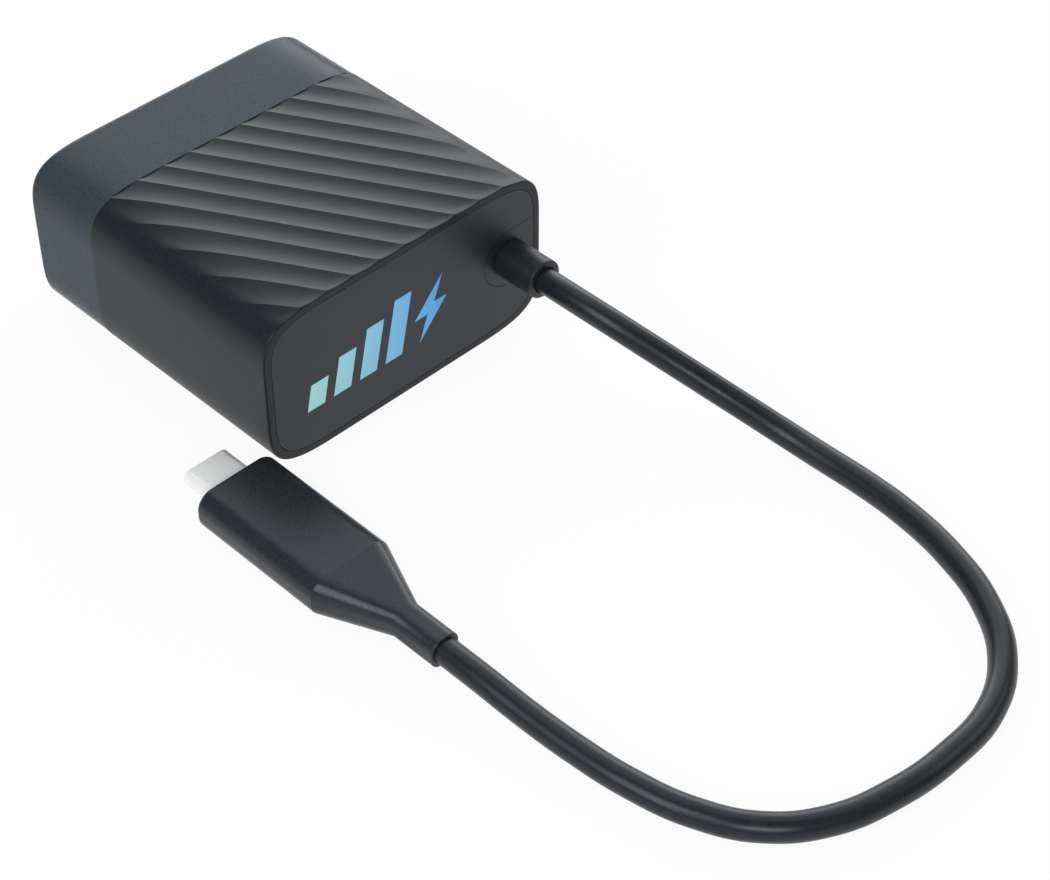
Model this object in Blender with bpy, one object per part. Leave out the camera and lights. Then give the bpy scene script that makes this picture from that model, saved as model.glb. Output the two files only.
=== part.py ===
"""Wall power adapter with a captive output lead, built as an assembly of separate pieces.

Metres, +Z up. The origin is the middle of the body's underside. The lead leaves the front
panel towards -Y, and two mains blades fold out of the rear cap towards +Y about an upright axis.
"""

import math

import bmesh
import bpy
from mathutils import Vector

MM = 0.001

# Body: a fluted sleeve, a front panel and a rear cap
BODY_WIDTH = 56.0 * MM
BODY_DEPTH = 56.0 * MM
BODY_HEIGHT = 28.4 * MM
SLEEVE_LENGTH = 40.35 * MM
CORNER_REACH_X = 15.5 * MM
CORNER_REACH_Z = 10.7 * MM
CORNER_POWER = 3.85
SHELL_WALL = 1.8 * MM
REAR_WALL = 2.0 * MM
REAR_ROUND = 1.3 * MM
FRONT_ROUND = 0.9 * MM
TONGUE_LENGTH = 3.0 * MM
TONGUE_WALL = 1.2 * MM
PANEL_RIM = 1.3 * MM
PANEL_THICKNESS = 2.0 * MM
SEAM_GAP = 0.2 * MM
FIT_GAP = 0.3 * MM

# Flutes: scallops that cross the broad faces on a slant and fade out at the shoulders
FLUTE_PITCH = 5.08 * MM
FLUTE_DEPTH = 0.24 * MM
FLUTE_SLANT = math.radians(30.0)
FLUTE_START = -0.4 * MM
FLUTE_STEPS = 4
FLUTE_EDGE = 2.5 * MM
FLUTE_FADE = 4.5 * MM
SIDE_STEPS = 12

# Cable gland, strain relief and cable
GLAND_SIDE_ROOM = 6.8 * MM
GLAND_RADIUS = 5.2 * MM
RELIEF_RADIUS = 3.25 * MM
RELIEF_LENGTH = 7.95 * MM
RELIEF_NECK_RADIUS = 2.9 * MM
RELIEF_FLANGE_RADIUS = 4.4 * MM
RELIEF_FLANGE = 1.6 * MM
RELIEF_ROUND = 0.3 * MM
CABLE_DIAMETER = 4.2 * MM
CABLE_RECESS = 0.8 * MM
CABLE_STEP = 6.0 * MM

# The cable's route in millimetres, from the strain relief down to the floor and round to the plug
CABLE_ROUTE = [
    (21.2, -35.45, 14.2),
    (21.2, -43.0, 14.2),
    (22.0, -49.5, 13.3),
    (24.0, -56.5, 11.0),
    (26.6, -63.5, 8.0),
    (29.2, -70.5, 5.0),
    (31.0, -77.5, 2.9),
    (31.6, -84.5, 2.2),
    (31.7, -92.0, 2.15),
    (31.1, -100.5, 2.15),
    (29.0, -110.3, 2.15),
    (25.0, -119.8, 2.15),
    (18.4, -127.8, 2.15),
    (9.5, -132.5, 2.15),
    (-0.5, -133.5, 2.15),
    (-10.6, -132.5, 2.15),
    (-20.0, -129.5, 2.15),
    (-27.2, -123.9, 2.15),
    (-31.7, -116.0, 2.15),
    (-34.0, -107.0, 2.15),
    (-35.0, -97.5, 2.2),
    (-35.5, -89.0, 2.6),
    (-35.8, -81.0, 3.3),
    (-35.9, -73.3, 3.5),
]

# Reversible oval plug on the cable, lying flat beside the body
PLUG_SIDE_ROOM = 7.9 * MM
PLUG_SETBACK = 1.05 * MM
PLUG_WIDTH = 14.7 * MM
PLUG_HEIGHT = 7.0 * MM
PLUG_CORNER = 3.0 * MM
PLUG_GRIP = 25.15 * MM
PLUG_TAPER = 11.5 * MM
PLUG_NECK = 8.1 * MM
PLUG_NECK_WIDTH = 5.1 * MM
PLUG_NECK_HEIGHT = 5.1 * MM
PLUG_NECK_CORNER = 2.0 * MM
PLUG_EDGE = 0.7 * MM
NECK_EDGE = 0.2 * MM
TIP_WIDTH = 8.34 * MM
TIP_HEIGHT = 2.56 * MM
TIP_EXPOSED = 6.9 * MM
TIP_EMBEDDED = 8.7 * MM
TIP_WALL = 0.3 * MM
TIP_EDGE = 0.15 * MM
INSERT_RECESS = 0.6 * MM
INSERT_GAP = 0.2 * MM
MOUTH_WIDTH = 6.6 * MM
MOUTH_HEIGHT = 1.0 * MM
MOUTH_DEPTH = 5.5 * MM
CONTACT_COUNT = 12
CONTACT_PITCH = 0.5 * MM
CONTACT_WIDTH = 0.25 * MM
CONTACT_THICKNESS = 0.12 * MM
CONTACT_LENGTH = 4.0 * MM
CONTACT_STRIP = 0.4 * MM
CONTACT_GAP = 0.06 * MM
PLUG_BOARD_WIDTH = 9.4 * MM
PLUG_BOARD_LENGTH = 11.0 * MM
PLUG_BOARD_THICKNESS = 1.0 * MM

# Folding mains plug: two flat blades on a barrel that turns about an upright axis
HINGE_X = -9.0 * MM
HINGE_DEPTH = 4.2 * MM
BLADE_SPACING = 12.7 * MM
BLADE_WIDTH = 6.35 * MM
BLADE_THICKNESS = 1.5 * MM
BLADE_REACH = 21.0 * MM
BLADE_CHAMFER = 1.5 * MM
BLADE_SHANK = 4.0 * MM
BLADE_TAIL = 5.2 * MM
BLADE_TAIL_WIDTH = 2.4 * MM
BLADE_GAP = 0.4 * MM
BARREL_RADIUS = 4.0 * MM
BARREL_END = 1.5 * MM
TRUNNION_RADIUS = 1.25 * MM
TRUNNION_LENGTH = 1.6 * MM
TRUNNION_GAP = 0.1 * MM
POCKET_WALL = 1.2 * MM
SCOOP_RADIUS = 9.0 * MM
SCOOP_DEPTH = 5.5 * MM
SCOOP_HEIGHT = 17.4 * MM
KEEPER_THICKNESS = 1.2 * MM
SCREW_SHANK = 0.75 * MM
SCREW_HEAD = 1.7 * MM
SCREW_HEAD_HEIGHT = 1.1 * MM
SCREW_LENGTH = 4.8 * MM
SCREW_ROOM = 7.2 * MM
SPRING_THICKNESS = 0.4 * MM
SPRING_WIDTH = 8.0 * MM
CONTACT_STRIP_WIDTH = 2.8 * MM
CONTACT_STRIP_FOOT = 4.4 * MM

# Boards, spreaders and electronic parts inside
LAYER_GAP = 0.3 * MM
SPREADER_THICKNESS = 0.8 * MM
SPREADER_SIDE_ROOM = 10.0 * MM
SHEET_THICKNESS = 0.3 * MM
BOARD_THICKNESS = 1.6 * MM
BOARD_SIDE_ROOM = 8.0 * MM
BOARD_FRONT_ROOM = 2.2 * MM
LEAD_RADIUS = 0.7 * MM
LEAD_ROOM = 2.4 * MM
PAD_THICKNESS = 0.9 * MM
ROW_ROOM = 2.0 * MM
CORE_YOKE = 3.0 * MM
CHOKE_WIRE = 1.1 * MM
CHOKE_SPREAD = math.radians(62.0)
X_CAPACITOR_HEIGHT = 11.0 * MM
FUSE_HEIGHT = 5.0 * MM
RECTIFIER_HEIGHT = 10.0 * MM
BLOCK_EDGE = 0.5 * MM
SIDE_BOARD_THICKNESS = 1.2 * MM
CONTROL_BOARD_HEIGHT = 14.0 * MM
SWITCH_THICKNESS = 0.9 * MM
SWITCH_HEIGHT = 6.0 * MM
OUTPUT_BOARD_WIDTH = 16.0 * MM
OUTPUT_BOARD_HEIGHT = 15.0 * MM
OUTPUT_CAN_HEIGHT = 9.0 * MM
WIRE_RADIUS = 0.5 * MM
WIRE_PITCH = 1.6 * MM

# Sizes of electronic parts as shares of the board's width
CORE_WIDTH_SHARE = 0.5
CORE_LEG_SHARE = 0.15
CORE_WINDOW_SHARE = 0.11
BULK_RADIUS_SHARE = 0.1125
CHOKE_WIDTH_SHARE = 0.1
X_CAPACITOR_WIDTH_SHARE = 0.15
FUSE_WIDTH_SHARE = 0.08
RECTIFIER_WIDTH_SHARE = 0.3
VARISTOR_THICKNESS_SHARE = 0.075
Y_CAPACITOR_THICKNESS_SHARE = 0.065
OUTPUT_CAN_RADIUS_SHARE = 0.07
OUTPUT_CAN_PITCH_SHARE = 0.16

# Sizes of electronic parts as shares of the board's depth
CORE_DEPTH_SHARE = 0.28
WINDING_OVERHANG_SHARE = 0.085
CHOKE_RADIUS_SHARE = 0.18
CHOKE_BORE_SHARE = 0.084
X_CAPACITOR_DEPTH_SHARE = 0.33
FUSE_DEPTH_SHARE = 0.22
RECTIFIER_DEPTH_SHARE = 0.08
VARISTOR_RADIUS_SHARE = 0.11
Y_CAPACITOR_RADIUS_SHARE = 0.09
SWITCH_DEPTH_SHARE = 0.14
SWITCH_PITCH_SHARE = 0.22

# Facet counts and mesh limits
CORNER_STEPS = 9
ROUND_STEPS = 4
SMALL_SIDES = 16
BARREL_SIDES = 24
CABLE_ROUNDNESS = 3
LEAD_ROUNDNESS = 2
ROUTE_STEPS = 16
MERGE_DISTANCE = 0.001 * MM
SHARP_ANGLE = math.radians(30.0)

# Places worked out from the sizes above
front_y = -BODY_DEPTH / 2
rear_y = BODY_DEPTH / 2
seam_y = front_y + SLEEVE_LENGTH
mid_z = BODY_HEIGHT / 2
panel_back_y = front_y + PANEL_THICKNESS
tongue_end_y = seam_y - TONGUE_LENGTH
relief_end_y = front_y - RELIEF_LENGTH
flange_end_y = panel_back_y + SEAM_GAP + RELIEF_FLANGE
gland_x = BODY_WIDTH / 2 - GLAND_SIDE_ROOM
cable_radius = CABLE_DIAMETER / 2
cable_inside = CABLE_RECESS - FIT_GAP
plug_x = -BODY_WIDTH / 2 - PLUG_SIDE_ROOM
plug_front_y = front_y - PLUG_SETBACK
plug_back_y = plug_front_y - PLUG_GRIP - PLUG_TAPER - PLUG_NECK
plug_z = PLUG_HEIGHT / 2
hinge_y = rear_y - HINGE_DEPTH
barrel_half = BLADE_SPACING / 2 + BLADE_THICKNESS / 2 + BARREL_END
pocket_half = barrel_half + FIT_GAP
trunnion_half = barrel_half + TRUNNION_LENGTH
trunnion_pocket_half = trunnion_half + FIT_GAP
bulkhead_half = trunnion_pocket_half + POCKET_WALL / 2
barrel_room = BARREL_RADIUS + FIT_GAP
tail_room = math.hypot(BLADE_TAIL, BLADE_TAIL_WIDTH / 2) + FIT_GAP
bulkhead_y = hinge_y - tail_room
slot_half = BLADE_THICKNESS / 2 + BLADE_GAP
blade_floor_y = hinge_y - BLADE_WIDTH / 2 - BLADE_GAP
slot_end_x = HINGE_X + BLADE_REACH + 2 * BLADE_GAP
scoop_x = HINGE_X + BLADE_REACH - SCOOP_DEPTH / 2
scoop_half_width = math.sqrt(SCOOP_RADIUS ** 2 - (SCOOP_RADIUS - SCOOP_DEPTH) ** 2)
keeper_top_y = bulkhead_y - FIT_GAP
keeper_low_y = keeper_top_y - KEEPER_THICKNESS
strip_top_y = keeper_low_y - FIT_GAP
strip_low_y = strip_top_y - SPRING_THICKNESS
spreader_low_z = SHELL_WALL + LAYER_GAP
sheet_low_z = spreader_low_z + SPREADER_THICKNESS + LAYER_GAP
board_low_z = sheet_low_z + SHEET_THICKNESS + LAYER_GAP
board_top_z = board_low_z + BOARD_THICKNESS
part_z = board_top_z + LAYER_GAP
upper_spreader_z = BODY_HEIGHT - SHELL_WALL - LAYER_GAP - SPREADER_THICKNESS
pad_low_z = upper_spreader_z - LAYER_GAP - PAD_THICKNESS
tall_top_z = pad_low_z - LAYER_GAP
board_half = BODY_WIDTH / 2 - BOARD_SIDE_ROOM
board_front_y = flange_end_y + BOARD_FRONT_ROOM
board_rear_y = strip_low_y - LEAD_ROOM
spreader_half = BODY_WIDTH / 2 - SPREADER_SIDE_ROOM
spreader_rear_y = tongue_end_y - FIT_GAP
lead_y = board_rear_y - LEAD_RADIUS - FIT_GAP
rear_row_y = lead_y - LEAD_RADIUS - FIT_GAP
board_width = 2 * board_half
board_depth = board_rear_y - board_front_y
core_width = CORE_WIDTH_SHARE * board_width
core_depth = CORE_DEPTH_SHARE * board_depth
core_leg = CORE_LEG_SHARE * board_width
core_window = CORE_WINDOW_SHARE * board_width
winding_overhang = WINDING_OVERHANG_SHARE * board_depth
rectifier_size = Vector((
    RECTIFIER_WIDTH_SHARE * board_width, RECTIFIER_DEPTH_SHARE * board_depth, RECTIFIER_HEIGHT))
side_board_x = -board_half + SIDE_BOARD_THICKNESS
switch_x = side_board_x + LAYER_GAP + SWITCH_THICKNESS
core_x = switch_x + ROW_ROOM / 2 + core_width / 2
rectifier_y = board_front_y + rectifier_size.y + LAYER_GAP
core_y = rectifier_y + LAYER_GAP + winding_overhang + core_depth / 2
middle_x = core_x + core_width / 2 + ROW_ROOM / 2


# Meshes

def loft(rings, closed=False):
    """Skin through rings of as many points each, capped at both ends or closed on itself."""
    bm = bmesh.new()
    rows = [[bm.verts.new(point) for point in ring] for ring in rings]
    pairs = list(zip(rows, rows[1:]))
    if closed:
        pairs.append((rows[-1], rows[0]))
    for near, far in pairs:
        for index in range(len(near)):
            following = (index + 1) % len(near)
            bm.faces.new((near[index], near[following], far[following], far[index]))
    if not closed:
        bm.faces.new(rows[0])
        bm.faces.new(rows[-1])
    bmesh.ops.recalc_face_normals(bm, faces=bm.faces)
    return bm


def placed(axis, along, first, second):
    """Point at a place along an axis, with its two other coordinates in X, Y, Z order."""
    if axis == "X":
        return Vector((along, first, second))
    if axis == "Y":
        return Vector((first, along, second))
    return Vector((first, second, along))


def prism(outline, axis, low, high):
    """Flat outline pushed along an axis from low to high."""
    return loft([[placed(axis, along, *point) for point in outline] for along in (low, high)])


def box(low, high):
    """Block between two corners."""
    outline = [(low[0], low[1]), (high[0], low[1]), (high[0], high[1]), (low[0], high[1])]
    return prism(outline, "Z", low[2], high[2])


def centred_box(centre, size):
    """Block of a size about a centre."""
    half = Vector(size) / 2
    return box(Vector(centre) - half, Vector(centre) + half)


def circle(centre, radius, sides):
    """Points round a circle."""
    turns = [2 * math.pi * index / sides for index in range(sides)]
    return [(centre[0] + radius * math.cos(turn), centre[1] + radius * math.sin(turn)) for turn in turns]


def cylinder(centre, radius, axis, low, high, sides=SMALL_SIDES):
    """Round bar along an axis."""
    return prism(circle(centre, radius, sides), axis, low, high)


def turned(centre, profile, axis, sides=SMALL_SIDES, closed=False):
    """Turned body from a profile of (place along the axis, radius)."""
    rings = []
    for along, radius in profile:
        rings.append([placed(axis, along, *point) for point in circle(centre, radius, sides)])
    return loft(rings, closed)


def rounded(centre, width, height, radius, steps=ROUND_STEPS):
    """Rectangle with round corners, as points."""
    points = []
    for quarter, (side, level) in enumerate(((1, 1), (-1, 1), (-1, -1), (1, -1))):
        middle = (centre[0] + side * (width / 2 - radius), centre[1] + level * (height / 2 - radius))
        for step in range(steps + 1):
            turn = math.pi / 2 * (quarter + step / steps)
            points.append((middle[0] + radius * math.cos(turn), middle[1] + radius * math.sin(turn)))
    return points


def stand_in(bm):
    """Object that holds a mesh while a Boolean reads it."""
    mesh = bpy.data.meshes.new("stand_in")
    bm.to_mesh(mesh)
    bm.free()
    item = bpy.data.objects.new("stand_in", mesh)
    bpy.context.scene.collection.objects.link(item)
    return item


def combined(base, tool, operation="DIFFERENCE"):
    """Base cut by, joined with or limited to a tool."""
    items = [stand_in(base), stand_in(tool)]
    modifier = items[0].modifiers.new("combined", "BOOLEAN")
    modifier.operation = operation
    modifier.solver = "EXACT"
    modifier.object = items[1]
    graph = bpy.context.evaluated_depsgraph_get()
    mesh = bpy.data.meshes.new_from_object(items[0].evaluated_get(graph))
    result = bmesh.new()
    result.from_mesh(mesh)
    bmesh.ops.remove_doubles(result, verts=result.verts, dist=MERGE_DISTANCE)
    bpy.data.meshes.remove(mesh)
    for item in items:
        bpy.data.meshes.remove(item.data)
    return result


def eased(bm, width):
    """Block with every edge bevelled."""
    bmesh.ops.bevel(bm, geom=bm.edges[:], offset=width, segments=1, affect="EDGES")
    return bm


# Objects and materials

def finish(name, colour, roughness, metallic=0.0):
    """Principled material of one colour."""
    material = bpy.data.materials.new(name)
    material.use_nodes = True
    shader = material.node_tree.nodes["Principled BSDF"]
    shader.inputs["Base Color"].default_value = (*colour, 1.0)
    shader.inputs["Roughness"].default_value = roughness
    shader.inputs["Metallic"].default_value = metallic
    return material


def add(name, bm, material, pivot=None):
    """Named object from a mesh, hung on a pivot if it moves."""
    mesh = bpy.data.meshes.new(name)
    if pivot:
        bmesh.ops.translate(bm, verts=bm.verts, vec=-pivot.location)
    bm.to_mesh(mesh)
    bm.free()
    mesh.materials.append(material)
    mesh.shade_smooth()
    mesh.set_sharp_from_angle(angle=SHARP_ANGLE)
    item = bpy.data.objects.new(name, mesh)
    item.parent = pivot
    bpy.context.scene.collection.objects.link(item)
    return item


def add_tube(name, route, radius, material, resolution):
    """Round lead along a route of points, as a curve object."""
    curve = bpy.data.curves.new(name, "CURVE")
    curve.dimensions = "3D"
    curve.bevel_depth = radius
    curve.bevel_resolution = resolution
    curve.use_fill_caps = True
    spline = curve.splines.new("POLY")
    spline.points.add(len(route) - 1)
    for point, place in zip(spline.points, route):
        point.co = (*place, 1.0)
    curve.materials.append(material)
    item = bpy.data.objects.new(name, curve)
    bpy.context.scene.collection.objects.link(item)
    return item


def carried_route(points, start, end):
    """Route whose ends are carried to a start and an end, with less of each shift further along."""
    start_shift = start - points[0]
    end_shift = end - points[-1]
    lowest = min(point.z for point in points)
    route = []
    for index, point in enumerate(points):
        share = index / (len(points) - 1)
        shift = start_shift.lerp(end_shift, share)
        shift.z *= min((point.z - lowest) / (points[-1].z - lowest), 1.0)
        route.append(point + shift)
    return route


def smooth_route(points, step):
    """Points a step apart on a smooth curve through a route's own points."""
    ends = [2 * points[0] - points[1], *points, 2 * points[-1] - points[-2]]
    dense = []
    for before, start, end, after in zip(ends, ends[1:], ends[2:], ends[3:]):
        for share in (index / ROUTE_STEPS for index in range(ROUTE_STEPS)):
            slope_in = (end - before) / 2
            slope_out = (after - start) / 2
            cube = share ** 3
            square = share ** 2
            dense.append(
                start * (2 * cube - 3 * square + 1)
                + slope_in * (cube - 2 * square + share)
                + end * (3 * square - 2 * cube)
                + slope_out * (cube - square)
            )
    dense.append(points[-1])
    reach = [0.0]
    for near, far in zip(dense, dense[1:]):
        reach.append(reach[-1] + (far - near).length)
    count = round(reach[-1] / step)
    route = []
    place = 0
    for index in range(count):
        wanted = reach[-1] * index / count
        while reach[place + 1] < wanted:
            place += 1
        share = (wanted - reach[place]) / (reach[place + 1] - reach[place])
        route.append(dense[place].lerp(dense[place + 1], share))
    return [*route, points[-1]]


# The body's outline: flat faces joined by corners of a super-ellipse

def skin_z(x, inset=0.0):
    """Half height of the outline at a place across the body."""
    past = abs(x) - (BODY_WIDTH / 2 - CORNER_REACH_X)
    flat = BODY_HEIGHT / 2 - CORNER_REACH_Z
    share = max(past, 0.0) / (CORNER_REACH_X - inset)
    return flat + (CORNER_REACH_Z - inset) * (1 - share ** CORNER_POWER) ** (1 / CORNER_POWER)


def skin_x(level, inset=0.0):
    """Half width of the outline at a level above or below its middle."""
    past = abs(level) - (BODY_HEIGHT / 2 - CORNER_REACH_Z)
    flat = BODY_WIDTH / 2 - CORNER_REACH_X
    share = max(past, 0.0) / (CORNER_REACH_Z - inset)
    return flat + (CORNER_REACH_X - inset) * (1 - share ** CORNER_POWER) ** (1 / CORNER_POWER)


def body_outline(inset):
    """Outline in X and Z, inset from the skin."""
    points = []
    flat_x = BODY_WIDTH / 2 - CORNER_REACH_X
    flat_z = BODY_HEIGHT / 2 - CORNER_REACH_Z
    for quarter, (side, level) in enumerate(((1, 1), (-1, 1), (-1, -1), (1, -1))):
        for step in range(CORNER_STEPS + 1):
            share = step / CORNER_STEPS if quarter % 2 == 0 else 1 - step / CORNER_STEPS
            across = math.cos(share * math.pi / 2) ** (2 / CORNER_POWER) if share < 1 else 0.0
            up = math.sin(share * math.pi / 2) ** (2 / CORNER_POWER)
            points.append((
                side * (flat_x + (CORNER_REACH_X - inset) * across),
                mid_z + level * (flat_z + (CORNER_REACH_Z - inset) * up),
            ))
    return points


def body_ring(y, inset):
    """Outline as a ring at a place along the body."""
    return [Vector((x, y, z)) for x, z in body_outline(inset)]


# Sleeve

flute_step = FLUTE_PITCH / FLUTE_STEPS
flute_reach = int((BODY_WIDTH / 2 - FLUTE_EDGE) / flute_step)
flute_front_y = front_y + FRONT_ROUND
flute_sections = round((seam_y - flute_front_y) * math.tan(FLUTE_SLANT) / flute_step)
flute_slope = flute_sections * flute_step / (seam_y - flute_front_y)


def flute_cut(x, y):
    """How deep the scallop lies under the skin of a broad face."""
    turns = (x - FLUTE_START + flute_slope * (y - flute_front_y)) / FLUTE_PITCH
    across = 2 * (turns - math.floor(turns)) - 1
    inside = (BODY_WIDTH / 2 - FLUTE_EDGE / 2 - abs(x)) / FLUTE_FADE
    share = min(max(inside, 0.0), 1.0)
    return FLUTE_DEPTH * (1 - across ** 2) * share ** 2 * (3 - 2 * share)


def fluted_ring(y, inset):
    """Ring of the sleeve, scalloped on both broad faces."""
    upper = []
    for step in range(-flute_reach, flute_reach + 1):
        x = FLUTE_START + step * flute_step
        upper.append((x, skin_z(x, inset) - max(flute_cut(x, y) - inset, 0.0)))
    sides = []
    for side, edge in ((1, upper[-1][1]), (-1, upper[0][1])):
        levels = [edge * (1 - 2 * step / SIDE_STEPS) for step in range(1, SIDE_STEPS)]
        sides.append([(side * skin_x(level, inset), level) for level in levels])
    lower = [(x, -level) for x, level in reversed(upper)]
    outline = [*upper, *sides[0], *lower, *reversed(sides[1])]
    return [Vector((x, y, mid_z + level)) for x, level in outline]


def sleeve_skin():
    """Outer form of the sleeve, its faces split along the crests of the flutes."""
    rings = []
    for step in range(ROUND_STEPS):
        turn = math.pi / 2 * step / ROUND_STEPS
        rings.append(fluted_ring(
            front_y + FRONT_ROUND * (1 - math.cos(turn)), FRONT_ROUND * (1 - math.sin(turn))))
    for section in range(flute_sections + 1):
        share = section / flute_sections
        rings.append(fluted_ring(flute_front_y + (seam_y - flute_front_y) * share, 0.0))
    bm = bmesh.new()
    rows = [[bm.verts.new(point) for point in ring] for ring in rings]
    count = len(rows[0])
    for near, far in zip(rows, rows[1:]):
        for index in range(count):
            following = (index + 1) % count
            corners = (near[index], near[following], far[following], far[index])
            if index < count // 2:
                bm.faces.new((corners[0], corners[1], corners[3]))
                bm.faces.new((corners[1], corners[2], corners[3]))
            else:
                bm.faces.new((corners[0], corners[1], corners[2]))
                bm.faces.new((corners[0], corners[2], corners[3]))
    bm.faces.new(rows[0])
    bm.faces.new(rows[-1])
    bmesh.ops.recalc_face_normals(bm, faces=bm.faces)
    return bm


def main_shell():
    """Sleeve with a seat for the front panel and an open rear end."""
    seat_y = panel_back_y + FIT_GAP
    hollow = loft([
        body_ring(front_y - PANEL_THICKNESS, PANEL_RIM),
        body_ring(seat_y, PANEL_RIM),
        body_ring(seat_y, SHELL_WALL),
        body_ring(seam_y + TONGUE_LENGTH, SHELL_WALL),
    ])
    return combined(sleeve_skin(), hollow)


# Front panel, gland and strain relief

def gland_outline(radius):
    """Tongue with a half-round end, running out past the right side of the panel."""
    centre = (gland_x, mid_z)
    points = [(BODY_WIDTH, mid_z + radius)]
    for step in range(2 * ROUND_STEPS + 1):
        turn = math.pi / 2 + math.pi * step / (2 * ROUND_STEPS)
        points.append((centre[0] + radius * math.cos(turn), centre[1] + radius * math.sin(turn)))
    points.append((BODY_WIDTH, mid_z - radius))
    return points


def panel_blank():
    """Plate that fills the sleeve's front rim."""
    return prism(body_outline(PANEL_RIM + SEAM_GAP), "Y", front_y, panel_back_y)


def front_panel():
    """Plate with a slot for the gland at its right side."""
    slot = prism(gland_outline(GLAND_RADIUS), "Y", front_y - PANEL_THICKNESS, panel_back_y + PANEL_THICKNESS)
    return combined(panel_blank(), slot)


def gland_insert():
    """Tongue that fills the panel's slot round the strain relief's neck."""
    tongue = prism(
        gland_outline(GLAND_RADIUS - SEAM_GAP), "Y",
        front_y - PANEL_THICKNESS, panel_back_y + PANEL_THICKNESS)
    hole = cylinder(
        (gland_x, mid_z), RELIEF_NECK_RADIUS + SEAM_GAP, "Y",
        front_y - PANEL_THICKNESS, panel_back_y + PANEL_THICKNESS, BARREL_SIDES)
    return combined(combined(panel_blank(), tongue, "INTERSECT"), hole)


def strain_relief():
    """Turned sleeve with a waist in the gland, an inner flange and a recess for the cable."""
    profile = [
        (relief_end_y + CABLE_RECESS, cable_radius + FIT_GAP),
        (relief_end_y, cable_radius + FIT_GAP),
    ]
    for step in range(ROUND_STEPS):
        turn = math.pi / 2 * step / (ROUND_STEPS - 1)
        profile.append((
            relief_end_y + RELIEF_ROUND * (1 - math.cos(turn)),
            RELIEF_RADIUS - RELIEF_ROUND * (1 - math.sin(turn)),
        ))
    profile += [
        (front_y - SEAM_GAP, RELIEF_RADIUS),
        (front_y - SEAM_GAP, RELIEF_NECK_RADIUS),
        (panel_back_y + SEAM_GAP, RELIEF_NECK_RADIUS),
        (panel_back_y + SEAM_GAP, RELIEF_FLANGE_RADIUS),
        (flange_end_y, RELIEF_FLANGE_RADIUS),
    ]
    return turned((gland_x, mid_z), profile, "Y", BARREL_SIDES)


# Plug on the cable

tip_front_y = plug_front_y + TIP_EXPOSED
tip_back_y = plug_front_y - TIP_EMBEDDED
board_slot_y = tip_back_y - FIT_GAP
insert_front_y = tip_front_y - INSERT_RECESS
insert_width = TIP_WIDTH - 2 * TIP_WALL - 2 * INSERT_GAP
insert_height = TIP_HEIGHT - 2 * TIP_WALL - 2 * INSERT_GAP


def plug_ring(y, width, height, radius):
    """Round-cornered ring across the plug."""
    return [Vector((x, y, z)) for x, z in rounded((plug_x, plug_z), width, height, radius)]


def slot_ring(y, width, height):
    """Ring with half-round ends across the plug."""
    return plug_ring(y, width, height, height / 2)


def plug_overmould():
    """Grip with a tapered boot, a mouth for the steel shell and a recess for the cable."""
    taper_y = plug_front_y - PLUG_GRIP
    neck_y = taper_y - PLUG_TAPER
    board_width = PLUG_BOARD_WIDTH + 2 * FIT_GAP
    board_height = PLUG_BOARD_THICKNESS + 2 * FIT_GAP
    rings = [
        slot_ring(board_slot_y - PLUG_BOARD_LENGTH - 2 * FIT_GAP, board_width, board_height),
        slot_ring(board_slot_y, board_width, board_height),
        slot_ring(board_slot_y, TIP_WIDTH + 2 * FIT_GAP, TIP_HEIGHT + 2 * FIT_GAP),
        slot_ring(plug_front_y, TIP_WIDTH + 2 * FIT_GAP, TIP_HEIGHT + 2 * FIT_GAP),
    ]
    for step in range(ROUND_STEPS):
        turn = math.pi / 2 * step / (ROUND_STEPS - 1)
        inset = PLUG_EDGE * (1 - math.sin(turn))
        rings.append(plug_ring(
            plug_front_y - PLUG_EDGE * (1 - math.cos(turn)),
            PLUG_WIDTH - 2 * inset, PLUG_HEIGHT - 2 * inset, PLUG_CORNER - inset))
    rings += [
        plug_ring(taper_y, PLUG_WIDTH, PLUG_HEIGHT, PLUG_CORNER),
        plug_ring(neck_y, PLUG_NECK_WIDTH, PLUG_NECK_HEIGHT, PLUG_NECK_CORNER),
        plug_ring(plug_back_y + NECK_EDGE, PLUG_NECK_WIDTH, PLUG_NECK_HEIGHT, PLUG_NECK_CORNER),
        plug_ring(
            plug_back_y, PLUG_NECK_WIDTH - NECK_EDGE, PLUG_NECK_HEIGHT - NECK_EDGE,
            PLUG_NECK_CORNER - NECK_EDGE / 2),
        slot_ring(plug_back_y, CABLE_DIAMETER + 2 * SEAM_GAP, CABLE_DIAMETER + 2 * SEAM_GAP),
        slot_ring(
            plug_back_y + CABLE_RECESS, CABLE_DIAMETER + 2 * SEAM_GAP, CABLE_DIAMETER + 2 * SEAM_GAP),
    ]
    return loft(rings)


def plug_shell():
    """Drawn steel shell, open at both ends."""
    inner_width = TIP_WIDTH - 2 * TIP_WALL
    inner_height = TIP_HEIGHT - 2 * TIP_WALL
    return loft([
        slot_ring(tip_front_y - TIP_EDGE, TIP_WIDTH, TIP_HEIGHT),
        slot_ring(tip_back_y, TIP_WIDTH, TIP_HEIGHT),
        slot_ring(tip_back_y, inner_width, inner_height),
        slot_ring(tip_front_y, inner_width, inner_height),
        slot_ring(tip_front_y, TIP_WIDTH - 2 * TIP_EDGE, TIP_HEIGHT - 2 * TIP_EDGE),
    ], closed=True)


def plug_insert():
    """Moulded carrier with the mouth that takes the socket's tongue."""
    mouth_y = insert_front_y - MOUTH_DEPTH
    return loft([
        slot_ring(mouth_y, MOUTH_WIDTH, MOUTH_HEIGHT),
        slot_ring(insert_front_y, MOUTH_WIDTH, MOUTH_HEIGHT),
        slot_ring(insert_front_y, insert_width, insert_height),
        slot_ring(tip_back_y, insert_width, insert_height),
    ])


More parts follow.
